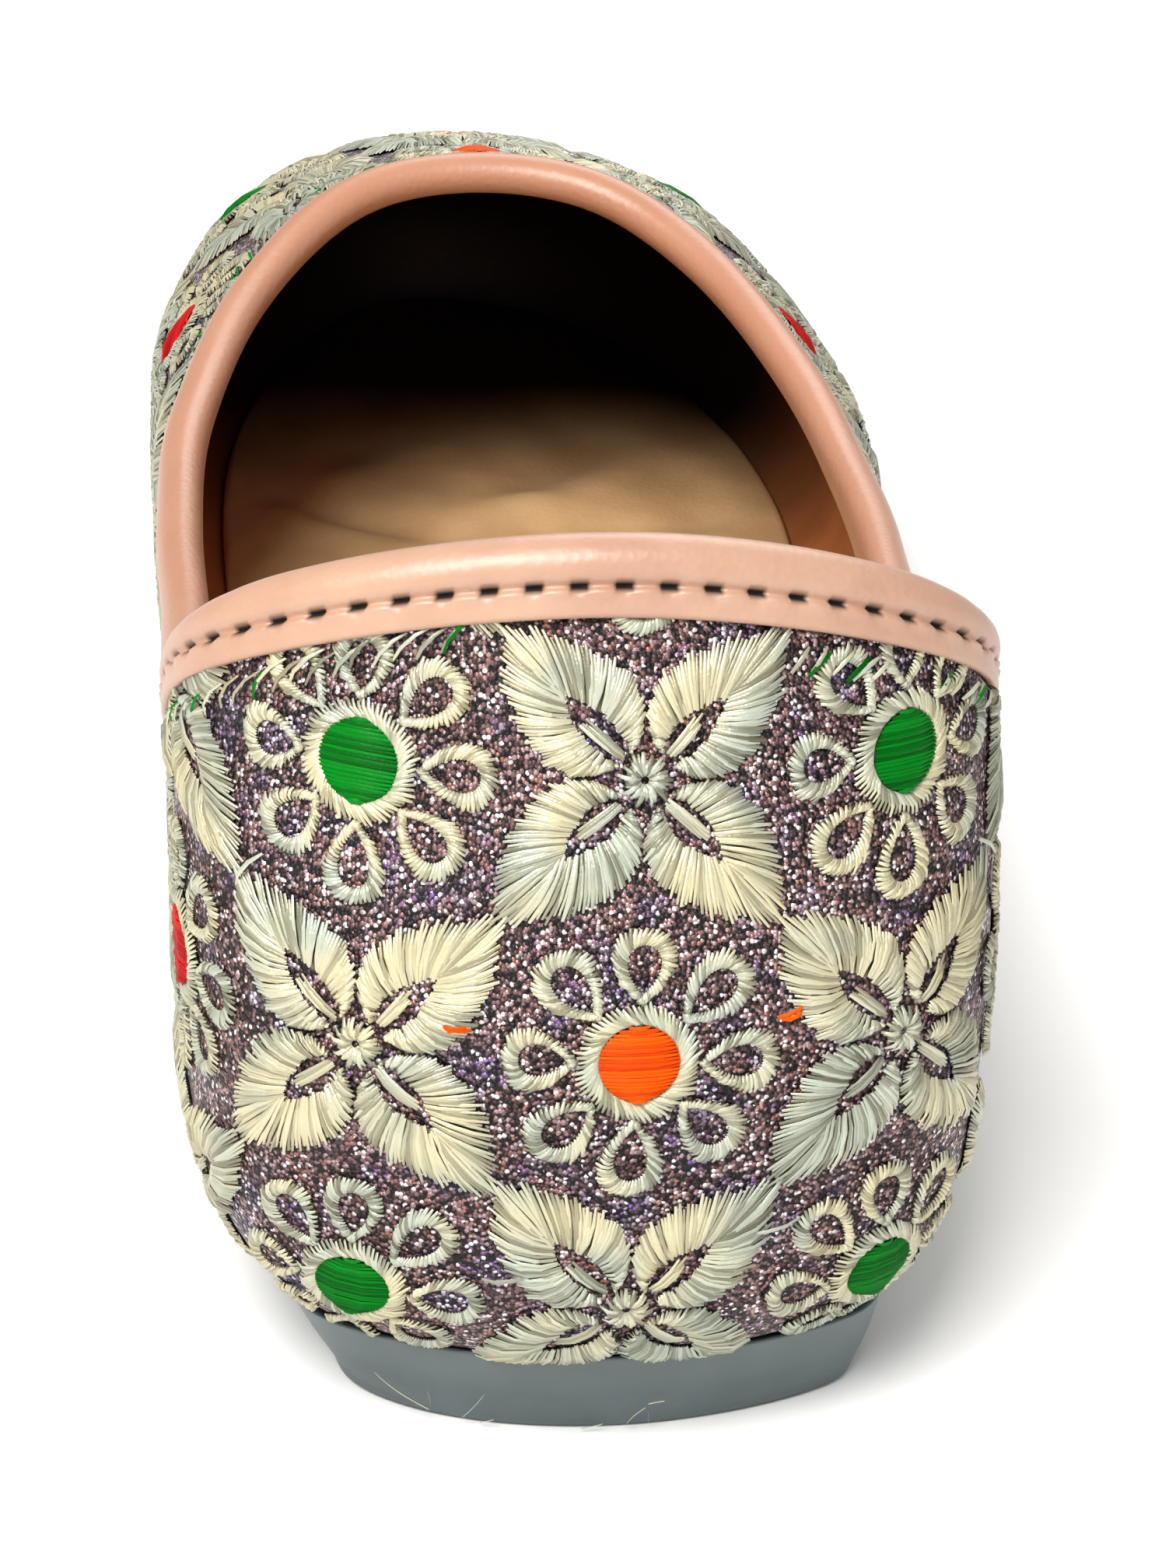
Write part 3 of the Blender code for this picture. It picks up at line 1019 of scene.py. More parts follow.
@dataclass
class LeafFlower:
    """Four heart-shaped leaves of satin stitch that point to the corners, round a small burst."""

    thread: float = THREAD_WIDTH
    peak: float = 0.00060
    outline: tuple = ((0.0022, 0.0009), (0.0034, 0.0062), (0.0098, 0.0060), (0.0158, 0.0))
    slit: tuple = ((0.0026, 0.0007), (0.0040, 0.0017), (0.0066, 0.0014), (0.0088, 0.0))
    threads_per_side: int = 48

    def sew(self) -> ThreadBank:
        """Draws the flower's threads."""
        bank = ThreadBank(11)
        outline = tuple(np.array(point) for point in self.outline)
        slit = tuple(np.array(point) for point in self.slit)
        shares = np.linspace(0.0, 1.0, self.threads_per_side)[:, None]
        for quarter in range(4):
            angle = math.radians(45 + 90 * quarter)
            for side in (1, -1):
                flip = np.array([1, side])
                outer = bezier(outline, shares ** 0.92) * flip
                inner = bezier(slit, np.minimum(shares * 1.1, 1)) * flip
                bank.pad(turned(inner, angle)[::side], turned(inner + 0.86 * (outer - inner), angle)[::side],
                         0.00020, closed=False)
                ragged = bank.random.uniform(0.88, 1.09, (self.threads_per_side, 1))
                outer = inner + (outer - inner) * ragged
                inner = inner + bank.random.normal(0, 0.00012, inner.shape)
                bank.sew(turned(inner, angle), turned(outer, angle), self.peak, self.thread, 0.03 * side)
            lanes = np.linspace(-0.00036, 0.00036, 4)
            lean = bank.random.choice([-0.00035, 0.00035])
            starts = np.column_stack([bank.random.uniform(0.0022, 0.0028, 4), lanes * 0.7])
            ends = np.column_stack([bank.random.uniform(0.0058, 0.0068, 4), lanes + lean])
            bank.sew(turned(starts, angle), turned(ends, angle), 0.00045, self.thread)
        spokes = np.linspace(0, 2 * math.pi, 34, endpoint=False)[:, None]
        reach = bank.random.uniform(0.0014, 0.0023, (34, 1))
        ring = np.hstack([np.cos(spokes), np.sin(spokes)])
        bank.sew(ring * 0.0003, ring * reach, 0.0006, self.thread, 0.05)
        return bank


@dataclass
class LoopFlower:
    """Eight open loops round a silk disc with a slanted ring."""

    thread: float = THREAD_WIDTH
    disc: float = 0.0031
    ring: float = 0.0048
    loop_start: float = 0.0047
    loop_end: float = 0.0108
    loop_width: float = 0.0050
    band: float = 0.0012
    loops: int = 8
    threads_per_loop: int = 46

    def teardrop(self, turns: np.ndarray, start: float, end: float, width: float) -> np.ndarray:
        """Closed drop with its point towards the disc.

        Args:
            turns: angles round the drop.
            start: where its point lies.
            end: where its round end lies.
            width: its width.

        Returns:
            Flat points.
        """
        along = (start + end) / 2 - (end - start) / 2 * np.cos(turns)
        across = width / 2 * np.sin(turns) * np.abs(np.sin(turns / 2)) ** 0.8 / 0.8
        return np.column_stack([along, across])

    def sew(self) -> ThreadBank:
        """Draws the cream threads."""
        bank = ThreadBank(23)
        turns = np.linspace(0, 2 * math.pi, self.threads_per_loop, endpoint=False)
        for loop in range(self.loops):
            angle = 2 * math.pi * loop / self.loops + bank.random.uniform(-0.05, 0.05)
            stretch = bank.random.uniform(0.94, 1.04)
            end = self.loop_end * stretch
            inner = self.teardrop(turns, self.loop_start + 0.0007, end - self.band,
                                  self.loop_width - 2 * self.band)
            outer = self.teardrop(turns, self.loop_start, end, self.loop_width)
            bank.pad(turned(inner, angle)[::-1], turned(outer, angle)[::-1] * 0.995, 0.00018, closed=True)
            slanted = self.teardrop(turns + 0.30, self.loop_start, end, self.loop_width)
            slanted = inner + (slanted - inner) * bank.random.uniform(0.90, 1.22, (len(turns), 1))
            bank.sew(turned(inner, angle), turned(slanted, angle), 0.00042, self.thread, 0.04)
        count = 70
        spots = np.linspace(0, 2 * math.pi, count, endpoint=False)
        reach = self.ring * bank.random.uniform(0.94, 1.06, (count, 1))
        inside = np.column_stack([np.cos(spots), np.sin(spots)]) * self.disc
        outside = np.column_stack([np.cos(spots + 0.4), np.sin(spots + 0.4)]) * reach
        bank.pad((inside * 0.98)[::-1], (outside * 0.94)[::-1], 0.00020, closed=True)
        bank.sew(inside, outside, 0.00050, self.thread, 0.08)
        return bank

    def sew_disc(self) -> ThreadBank:
        """Draws the silk threads of the disc."""
        bank = ThreadBank(37)
        rows = np.linspace(-0.97, 0.97, 21) * self.disc
        half = np.sqrt(self.disc ** 2 - rows ** 2) + 0.0001
        rim = np.linspace(0, 2 * math.pi, 28, endpoint=False)
        edge = np.column_stack([np.cos(rim), np.sin(rim)])
        bank.pad((edge * 0.0001)[::-1], (edge * self.disc * 0.97)[::-1], 0.00035, closed=True)
        starts = np.column_stack([-half, rows])
        ends = np.column_stack([half, rows + 0.0001])
        bank.sew(starts, ends, 0.00050, 0.00040, 0.0, floor=0.00030)
        return bank


@dataclass
class ClothPanel:
    """One panel of the wall's cloth, with a flat copy of itself as its UV map."""

    workshop: Workshop
    panel: Panel
    seam_place: float = 0.205
    under: float = 0.0035
    tuck_rows: int = 12
    wall_rows: int = 52
    top_depth: float = 0.0037
    columns_per_ring: int = 560
    surface: bpy.types.Object | None = None

    def creases(self) -> tuple[Crease, ...]:
        """Main creases and dents of the wall."""
        return (
            Crease((0.0300, 0.030, 0.044), (0.0, 0.35, 0.94), 0.014, 0.0045, 0.0006),
            Crease((-0.0310, 0.034, 0.040), (0.0, 0.30, 0.95), 0.013, 0.0050, 0.0005),
            Crease((0.0000, 0.001, 0.024), (1.0, 0.0, 0.0), 0.020, 0.0040, -0.0003),
            Crease((0.0380, 0.118, 0.026), (0.0, 0.85, 0.53), 0.016, 0.0060, 0.0008),
            Crease((-0.0330, 0.120, 0.028), (0.0, 0.80, 0.60), 0.015, 0.0060, 0.0007),
            Crease((0.0120, 0.186, 0.050), (0.94, -0.34, 0.0), 0.014, 0.0050, 0.0005),
            Crease((-0.0140, 0.192, 0.047), (0.93, 0.37, 0.0), 0.013, 0.0050, 0.0005),
        )

    def places(self) -> np.ndarray:
        """Places of the panel's columns."""
        if self.panel is Panel.BACK:
            start, end = -self.seam_place, self.seam_place
        else:
            start, end = self.seam_place, 1 - self.seam_place
        return np.linspace(start, end, int(self.columns_per_ring * (end - start)))

    def build(self, material: bpy.types.Material) -> bpy.types.Object:
        """Makes the cloth's outer surface and flattens it."""
        ribs = Ribs(self.workshop.form, self.places())
        points = ribs.grid(self.under, self.tuck_rows, self.wall_rows, self.top_depth)
        points = creased(points, grid_normals(points, False), self.creases())
        rows, columns = points.shape[:2]
        faces = Workshop.grid_faces(rows, columns, closed=False)
        self.surface = self.workshop.piece(f"{self.panel.value}_cloth", points, faces, material)
        self.flatten(points)
        return self.surface

    def flatten(self, points: np.ndarray) -> None:
        """Lays the panel flat at its real size, upright on the cloth's grid, as its UV map.

        Args:
            points: the panel's grid in the shoe's own coordinates.
        """
        mesh = self.surface.data
        layer = mesh.uv_layers.new(name="cloth")
        owner = np.empty(len(mesh.loops), dtype=int)
        mesh.loops.foreach_get("vertex_index", owner)
        laid, weight = self.guide(points)
        if self.panel is Panel.VAMP:
            laid = self.laid_on(self.unwrapped(owner), laid, weight)
            layer = mesh.uv_layers["cloth"]
        layer.uv.foreach_set("vector", (laid[owner] / CLOTH_SPAN + 0.5).ravel())

    def unwrapped(self, owner: np.ndarray) -> np.ndarray:
        """Unwraps the panel with as little stretch as it allows.

        Args:
            owner: vertex of each face corner.

        Returns:
            A flat position for each vertex.
        """
        mesh = self.surface.data
        bpy.ops.object.select_all(action="DESELECT")
        bpy.context.view_layer.objects.active = self.surface
        self.surface.select_set(True)
        bpy.ops.object.mode_set(mode="EDIT")
        bpy.ops.mesh.select_all(action="SELECT")
        bpy.ops.uv.unwrap(method="MINIMUM_STRETCH", margin=0.0, correct_aspect=False, iterations=14)
        bpy.ops.object.mode_set(mode="OBJECT")
        corners = np.empty(2 * len(mesh.loops))
        mesh.uv_layers["cloth"].uv.foreach_get("vector", corners)
        flat = np.empty((len(mesh.vertices), 2))
        flat[owner] = corners.reshape(-1, 2)
        return flat

    def guide(self, points: np.ndarray) -> tuple[np.ndarray, np.ndarray]:
        """Where the cloth's grid is true: round the back of the heel, or over the instep.

        Args:
            points: the panel's grid in the shoe's own coordinates.

        Returns:
            Flat positions, and how much each counts.
        """
        form = self.workshop.form
        rows, columns = points.shape[:2]
        if self.panel is Panel.BACK:
            girth_row = 2 + self.tuck_rows
            steps = np.linalg.norm(np.diff(points, axis=1), axis=-1)
            across = np.hstack([np.zeros((rows, 1)), np.cumsum(steps, axis=1)])
            across -= across[:, columns // 2:columns // 2 + 1]
            climb = np.linalg.norm(np.diff(points, axis=0), axis=-1)
            height = np.vstack([np.zeros((1, columns)), np.cumsum(climb, axis=0)])
            height -= height[girth_row:girth_row + 1]
            weight = np.exp(-(across / 0.030) ** 2) * (np.arange(rows) > girth_row - 4)[:, None]
            return np.stack([across, height], -1).reshape(-1, 2), weight.ravel()
        flat = points[..., :2] - np.array([0.0, form.throat_reach])
        near = points - np.array([0.002, form.throat_reach + 0.02, form.instep_height - 0.008])
        weight = np.exp(-(np.linalg.norm(near, axis=-1) / 0.022) ** 2)
        return flat.reshape(-1, 2), weight.ravel()

    @staticmethod
    def laid_on(flat: np.ndarray, guide: np.ndarray, weight: np.ndarray) -> np.ndarray:
        """Turns, scales and shifts a flat layout onto its guide.

        Args:
            flat: the layout.
            guide: where it should lie.
            weight: how much each point counts.

        Returns:
            The fitted layout, mirrored if the unwrap was.
        """
        share = (weight / weight.sum())[:, None]
        middle, target = (share * flat).sum(0), (share * guide).sum(0)
        product = ((flat - middle) * share).T @ (guide - target)
        left, sizes, right = np.linalg.svd(product)
        spread = (share * (flat - middle) ** 2).sum()
        return (flat - middle) @ (left @ right) * (sizes.sum() / spread) + target

    def close(self) -> None:
        """Gives the cloth its thickness and hands it to the frame."""
        shell = self.surface.modifiers.new("cloth", "SOLIDIFY")
        shell.thickness = CLOTH_THICKNESS
        shell.offset = -1
        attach(self.surface, BODY)
        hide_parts("upper")


@dataclass
class JumpThreads:
    """Loose threads that run from one flower to the next, on the back panel."""

    orange: tuple = ((-0.0132, 0.0113, -0.0106, 0.0110), (-0.0128, 0.0108, -0.0108, 0.0114),
                     (0.0126, 0.0110, 0.0148, 0.0117), (0.0129, 0.0108, 0.0146, 0.0113))
    cream: tuple = ((-0.0099, -0.0103, -0.0062, -0.0097), (0.0105, -0.0071, 0.0149, -0.0064),
                    (-0.0300, 0.0190, -0.0272, 0.0222), (0.0330, 0.0196, 0.0352, 0.0170))
    peak: float = 0.0008
    bow: float = 0.04

    def sew(self, lines: tuple) -> ThreadBank:
        """Draws threads between pairs of points."""
        bank = ThreadBank(41)
        table = np.array(lines)
        bank.sew(table[:, :2], table[:, 2:], self.peak, THREAD_WIDTH, self.bow)
        return bank


@dataclass
class EdgeStrokes:
    """Row of slanted stitches that shows below the binding."""

    workshop: Workshop
    pitch: float = 0.0017
    depth: float = 0.0066
    reach: float = 0.0022
    slant: float = 0.0024
    clear_of_centre: float = 0.0125
    strip_low: float = 0.0110
    strip_high: float = 0.0036
    peak: float = 0.0007
    bow: float = 0.08
    columns: int = 1600

    def strip(self) -> tuple[np.ndarray, np.ndarray, float, np.ndarray]:
        """Strip of wall below the binding.

        Returns:
            Its grid of points, their normals, the topline's length and the strip's depths.
        """
        form = self.workshop.form
        ribs = Ribs(form, form.even_places(self.columns))
        depths = np.linspace(self.strip_low, self.strip_high, 12)
        points = ribs.wall_rings(list(depths))
        length = np.linalg.norm(np.roll(ribs.topline, -1, 0) - ribs.topline, axis=1).sum()
        return points, grid_normals(points, True), length, depths

    def draped(self, flat: np.ndarray) -> np.ndarray:
        """Points on the wall.

        Args:
            flat: run along the topline, minus the depth, and height over the cloth.

        Returns:
            Points in the shoe's own coordinates.
        """
        points, normals, length, depths = self.strip()
        column = np.mod(flat[:, 0] / length, 1) * self.columns
        share = (depths[0] + flat[:, 1]) / (depths[0] - depths[-1])
        row = np.clip(share * (len(depths) - 1), 0, len(depths) - 1.001)
        left, low = column.astype(int), row.astype(int)
        right = (left + 1) % self.columns
        x, y = (column - left)[:, None], (row - low)[:, None]
        placed = []
        for table in (points, normals):
            lower = table[low, left] * (1 - x) + table[low, right] * x
            upper = table[low + 1, left] * (1 - x) + table[low + 1, right] * x
            placed.append(lower * (1 - y) + upper * y)
        return placed[0] + placed[1] * flat[:, 2:]

    def build(self, name: str, seed: int, share: float, material: bpy.types.Material) -> None:
        """Sews one colour of the row.

        Args:
            name: the piece's name.
            seed: seed of the small differences.
            share: share of the stitches that this colour makes.
            material: its finish.
        """
        length = self.strip()[2]
        bank = ThreadBank(seed)
        runs = np.arange(self.clear_of_centre, length - self.clear_of_centre, self.pitch)
        runs = runs[bank.random.random(len(runs)) < share]
        runs = runs + bank.random.uniform(-0.0003, 0.0003, len(runs))
        depth = self.depth + 0.0007 * np.sin(runs * 95) + bank.random.uniform(-0.0003, 0.0003, len(runs))
        lean = self.slant * bank.random.uniform(0.6, 1.2, len(runs))
        starts = np.column_stack([runs, -depth - self.reach / 2])
        ends = np.column_stack([runs + lean, -depth + self.reach / 2])
        bank.sew(starts, ends, self.peak, THREAD_WIDTH, self.bow)
        flat = np.concatenate(bank.points)
        piece = self.workshop.piece(name, self.draped(flat), bank.faces, material)
        store(piece.data, "tone", np.concatenate(bank.tones))
        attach(piece, BODY)


@dataclass
class LooseFibres:
    """Fine pale fibres that cling to the back of the sole.

    Each line gives a fibre's start and end, across the heel and over the ground, and its bend.
    """

    workshop: Workshop
    lines: tuple = ((-0.0104, 0.0008, -0.0086, 0.0040, 0.03), (-0.0172, 0.0042, -0.0130, 0.0012, -0.10),
                    (-0.0131, 0.0034, -0.0129, 0.0014, 0.05), (-0.0089, 0.0006, -0.0078, 0.0011, 0.10),
                    (-0.0006, 0.0005, 0.0011, 0.0010, 0.15), (0.0031, 0.0008, 0.0045, 0.0027, -0.08),
                    (0.0049, 0.0006, 0.0048, 0.0021, 0.04), (0.0047, 0.0031, 0.0060, 0.0033, -0.20))
    steps: int = 7
    sides: int = 4
    thickness: float = 0.00005
    lift: float = 0.0004

    def spine(self, line: tuple) -> tuple[np.ndarray, np.ndarray]:
        """Middle of a fibre and the way out of the sole along it."""
        form = self.workshop.form
        fine = np.linspace(-0.12, 0.12, 400)
        edge = Ribs(form, fine)
        across = edge.on_sole(edge.tuck)[:, 0]
        shares = np.linspace(0, 1, self.steps)
        x = line[0] + (line[2] - line[0]) * shares
        z = line[1] + (line[3] - line[1]) * shares
        reach = math.hypot(line[2] - line[0], line[3] - line[1])
        x = x + line[4] * reach * np.sin(math.pi * shares)
        ribs = Ribs(form, np.interp(x, across, fine))
        sole = MouldedSole(self.workshop)
        fall = np.clip(1 - z / form.sole_heel, 0, 1)[:, None]
        spine = ribs.on_sole(ribs.tuck - sole.lip + sole.lip_back + sole.taper * fall - self.lift)
        spine[:, 2] = z
        return spine, ribs.out

    def build(self, material: bpy.types.Material) -> None:
        """Makes each fibre as a thin closed tube."""
        points, faces = [], []
        for line in self.lines:
            spine, out = self.spine(line)
            first = len(points) * self.steps
            for side in range(self.sides):
                turn = 2 * math.pi * side / self.sides
                points.append(spine + self.thickness * (math.cos(turn) * out + math.sin(turn) * UP))
            for side in range(self.sides):
                low, high = first + side * self.steps, first + (side + 1) % self.sides * self.steps
                for step in range(self.steps - 1):
                    faces.append((low + step, low + step + 1, high + step + 1, high + step))
            caps = [first + side * self.steps for side in range(self.sides)]
            faces.append(tuple(reversed(caps)))
            faces.append(tuple(corner + self.steps - 1 for corner in caps))
        piece = self.workshop.piece("loose_fibres", np.concatenate(points), faces, material)
        store(piece.data, "tone", np.ones(len(piece.data.vertices)))
        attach(piece, BODY)


@dataclass
class Embroidery:
    """Flowers laid out in a checkerboard and sewn through each panel."""

    workshop: Workshop
    panels: dict[Panel, ClothPanel]
    pitch: float = 0.0217
    row_pitch: float = 0.0219
    back_shift: tuple[float, float] = (0.0017, -0.0134)
    vamp_shift: tuple[float, float] = (0.0, 0.0120)
    finishes: dict[str, bpy.types.Material] = field(default_factory=dict)

    def tree(self) -> GeometrySketch:
        """Tree that copies a flat motif to each point and drapes it over a panel."""
        sketch = GeometrySketch("sew_motifs", {"Motif": "object", "Layout": "object", "Panel": "object",
                                               "Material": "material"})
        turn = sketch.node("ShaderNodeCombineXYZ", inputs={"Z": sketch.named("turn")})
        copies = sketch.node("GeometryNodeInstanceOnPoints", inputs={
            "Points": sketch.object_mesh("Layout"), "Instance": sketch.object_mesh("Motif"),
            "Rotation": turn.outputs[0], "Scale": sketch.named("size")})
        real = sketch.node("GeometryNodeRealizeInstances", inputs={"Geometry": copies.outputs[0]})
        spot = sketch.node("GeometryNodeInputPosition").outputs[0]
        parts = sketch.node("ShaderNodeSeparateXYZ", inputs={"Vector": spot})
        scaled = sketch.node("ShaderNodeVectorMath", {"operation": "MULTIPLY_ADD"}, {
            0: spot, 1: (1 / CLOTH_SPAN, 1 / CLOTH_SPAN, 0), 2: (0.5, 0.5, 0)})
        surface = sketch.object_mesh("Panel")
        uv = sketch.node("GeometryNodeInputNamedAttribute", {"data_type": "FLOAT_VECTOR"}, {"Name": "cloth"})
        found = []
        for field_type in ("GeometryNodeInputPosition", "GeometryNodeInputNormal"):
            value = sketch.node(field_type).outputs[0]
            sample = sketch.node("GeometryNodeSampleUVSurface", {"data_type": "FLOAT_VECTOR"})
            sketch.feed(sample.inputs[0], surface)
            sketch.feed(sample.inputs["Value"], value)
            sketch.feed(sample.inputs["UV Map"], uv.outputs[0])
            sketch.feed(sample.inputs["Sample UV"], scaled.outputs[0])
            found.append(sample)
        lift = sketch.node("ShaderNodeVectorMath", {"operation": "SCALE"}, {
            0: found[1].outputs["Value"], "Scale": parts.outputs["Z"]})
        draped = sketch.node("ShaderNodeVectorMath", {"operation": "ADD"}, {
            0: found[0].outputs["Value"], 1: lift.outputs[0]})
        inside = sketch.node("GeometryNodeStoreNamedAttribute", {"data_type": "BOOLEAN", "domain": "POINT"}, {
            "Geometry": real.outputs[0], "Name": "on_cloth", "Value": found[0].outputs["Is Valid"]})
        placed = sketch.node("GeometryNodeSetPosition", inputs={
            "Geometry": inside.outputs[0], "Position": draped.outputs[0]})
        off = sketch.node("FunctionNodeBooleanMath", {"operation": "NOT"}, {
            0: sketch.named("on_cloth", "BOOLEAN")})
        kept = sketch.node("GeometryNodeDeleteGeometry", {"domain": "POINT"}, {
            "Geometry": placed.outputs[0], "Selection": off.outputs[0]})
        sketch.finish(kept.outputs[0])
        return sketch

    def layout(self, name: str, spots: list[tuple[float, float]], seed: int) -> bpy.types.Object:
        """Points of a layout, each with a slight turn and size of its own.

        Args:
            name: the layout's name.
            spots: flat positions on the cloth.
            seed: seed of the small differences.

        Returns:
            A hidden object of loose points.
        """
        random = np.random.default_rng(seed)
        mesh = bpy.data.meshes.new(name)
        mesh.from_pydata([(x, y, 0.0) for x, y in spots], [], [])
        store(mesh, "turn", random.uniform(-0.05, 0.05, len(spots)))
        store(mesh, "size", random.uniform(0.97, 1.02, len(spots)))
        return bpy.data.objects.new(name, mesh)

    def spots(self, panel: Panel) -> tuple[list, dict[Centre, list]]:
        """Where the flowers of a panel lie.

        Args:
            panel: which panel.

        Returns:
            Positions of leaf flowers, and of loop flowers by the silk of their centre.
        """
        shift = self.back_shift if panel is Panel.BACK else self.vamp_shift
        leaves, loops = [], {centre: [] for centre in Centre}
        odd = 0 if panel is Panel.BACK else 1
        for row in range(-7, 8):
            for column in range(-8, 9):
                spot = (shift[0] + self.pitch * column, shift[1] + self.row_pitch * row)
                if (row + column + odd) % 2 == 0:
                    leaves.append(spot)
                elif (row + odd) % 2 == 0:
                    loops[Centre.GREEN].append(spot)
                else:
                    centre = Centre.ORANGE if column % 4 == 0 else Centre.RED
                    loops[centre].append(spot)
        return leaves, loops

    def build(self) -> None:
        """Sews both panels."""
        tree = self.tree()
        leaf = LeafFlower().sew().motif("leaf_flower")
        loop_flower = LoopFlower()
        loop = loop_flower.sew().motif("loop_flower")
        disc = loop_flower.sew_disc().motif("silk_disc")
        for seed, (panel, cloth) in enumerate(self.panels.items()):
            leaves, loops = self.spots(panel)
            every = [spot for spots in loops.values() for spot in spots]
            plan = [("leaf_flowers", leaf, leaves, "cream"), ("loop_flowers", loop, every, "cream")]
            plan += [(f"{centre.value}_centres", disc, loops[centre], centre.value) for centre in Centre]
            for name, motif, spots, finish in plan:
                layout = self.layout(f"{name}_layout", spots, 50 + seed)
                piece = tree.grow(f"{panel.value}_{name}", {
                    "Motif": motif, "Layout": layout, "Panel": cloth.surface,
                    "Material": self.finishes[finish]})
                if not len(piece.data.polygons):
                    bpy.data.objects.remove(piece)
                    continue
                self.attach(piece)
        jumps = JumpThreads()
        for name, lines in (("orange", jumps.orange), ("cream", jumps.cream)):
            motif = jumps.sew(lines).motif(f"{name}_jumps")
            layout = self.layout(f"{name}_jump_layout", [(0.0, 0.0)], 5)
            self.attach(tree.grow(f"{name}_jump_threads", {
                "Motif": motif, "Layout": layout, "Panel": self.panels[Panel.BACK].surface,
                "Material": self.finishes[name]}))

    @staticmethod
    def attach(piece: bpy.types.Object) -> None:
        """Hands a sewn piece to the frame and reports it."""
        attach(piece, BODY)
        LOG.info("%s: %d faces", piece.name, len(piece.data.polygons))


@dataclass
class Lining:
    """Leather lining inside the wall."""

    workshop: Workshop
    columns: int = 300
    thickness: float = 0.0006
    waves: tuple = ((0.00015, 160, 90, 60), (0.0001, 70, 210, 130))

    def build(self, material: bpy.types.Material) -> bpy.types.Object:
        """Makes the lining as a thin closed shell."""
        form = self.workshop.form
        ribs = self.workshop.ribs(self.columns)
        points = ribs.grid(0.002, 8, 30, 0.0012)
        points = points - grid_normals(points, True) * (form.wall - self.thickness)
        points += grid_normals(points, True) * ripple(points, self.waves)[..., None]
        rows, columns = points.shape[:2]
        lining = self.workshop.piece("lining", points, Workshop.grid_faces(rows, columns, True), material)
        shell = lining.modifiers.new("leather", "SOLIDIFY")
        shell.thickness = self.thickness
        shell.offset = -1
        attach(lining, BODY)
        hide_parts("upper")
        return lining


@dataclass
class Binding:
    """Peach leather rolled over the topline and stitched through, with a flat flange below."""

    workshop: Workshop
    stitch_pitch: float = 0.0033
    columns_per_stitch: int = 12
    stitch_depth: float = 0.0026
    throat_flange: float = 0.80
    throat: tuple[float, float] = (0.105, 0.145)
    step_below: float = 0.0012
    hole_depth: float = 0.0003
    hole_reach: float = 0.00030
    pucker_height: float = 0.00042
    pucker_below: float = 0.00025
    pucker_reach: float = 0.00045
    waves: tuple = ((0.00010, 150, 90, 50), (0.00008, 60, 230, 100))

    def profile(self) -> np.ndarray:
        """Closed section: distance out from the wall's face, and depth below the topline, in millimetres."""
        return np.array([
            (0.20, 4.85), (0.52, 5.00), (0.84, 4.90), (0.98, 4.55), (1.02, 4.10), (1.02, 3.60), (1.00, 3.20),
            (0.90, 2.96), (0.68, 2.76), (0.50, 2.60), (0.62, 2.44), (0.96, 2.24), (1.24, 1.90), (1.40, 1.40),
            (1.42, 0.85), (1.28, 0.20), (0.86, -0.48), (0.28, -1.02), (-0.40, -1.32), (-1.10, -1.38),
            (-1.80, -1.16), (-2.38, -0.70), (-2.78, -0.05), (-2.98, 0.75), (-3.02, 1.70), (-2.94, 2.70),
            (-2.80, 3.60), (-2.62, 4.30), (-2.30, 4.62), (-2.05, 4.40), (-2.02, 2.50), (-1.98, 0.30),
            (-1.40, -0.20), (-0.90, -0.28), (-0.30, -0.20), (0.12, 0.30), (0.16, 2.60),
        ]) * 0.001

    def build(self, material: bpy.types.Material) -> bpy.types.Object:
        """Makes the binding with its row of stitch holes."""
        form = self.workshop.form
        rough = Ribs(form, form.even_places(720)).topline
        perimeter = np.linalg.norm(np.roll(rough, -1, 0) - rough, axis=1).sum()
        stitches = int(round(perimeter / self.stitch_pitch))
        count = stitches * self.columns_per_stitch
        ribs = Ribs(form, form.even_places(count))
        section = self.profile()
        top, lower = ribs.wall_rings([0.0, self.step_below])
        around = unit(np.roll(top, -1, 0) - np.roll(top, 1, 0))
        rise = unit(top - lower)
        out = unit(np.cross(around, rise))
        phase = 2 * math.pi * np.arange(count) / self.columns_per_stitch
        front = eased(*self.throat, top[:, 1])[:, None]
        hole = eased(-0.05, 0.55, np.cos(phase))
        rise_of_bump = np.sqrt(np.clip(0.5 - 0.5 * np.cos(phase), 0, 1))
        rings = []
        marks = []
        for offset, depth in section:
            outside = offset > -1.0e-3 and depth > 0
            base = ribs.wall_rings([depth])[0] if depth > 0 else top - rise * depth
            if outside and depth > self.stitch_depth:
                base = base + (ribs.wall_rings([depth * self.throat_flange])[0] - base) * front
            calm = 0.5 if offset < -1.9e-3 and depth > 0 else 1
            normal = out
            if depth > 0:
                below = ribs.wall_rings([depth + self.step_below])[0]
                normal = unit(np.cross(around, unit(base - below)))
            near, pucker = 0.0, 0.0
            if outside and offset > 0.4e-3:
                below_stitch = depth - self.stitch_depth
                near = math.exp(-(below_stitch / self.hole_reach) ** 2)
                pucker = math.exp(-((below_stitch - self.pucker_below) / self.pucker_reach) ** 2)
            shift = -self.hole_depth * near * hole + self.pucker_height * pucker * rise_of_bump
            wave = ripple(base, self.waves) * calm
            rings.append(base + normal * (offset + shift + wave)[:, None])
            marks.append(np.minimum(1.0, 1.8 * near * hole))
        points = np.array(rings)
        rows = len(points)
        faces = Workshop.grid_faces(rows, count, True, loop=True)
        binding = self.workshop.piece("binding", points, faces, material)
        # The hole marks tell the leather finish where to paint shade inside the stitch holes.
        store(binding.data, "hole", np.array(marks).ravel())
        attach(binding, BODY)
        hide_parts("topline_binding")
        return binding


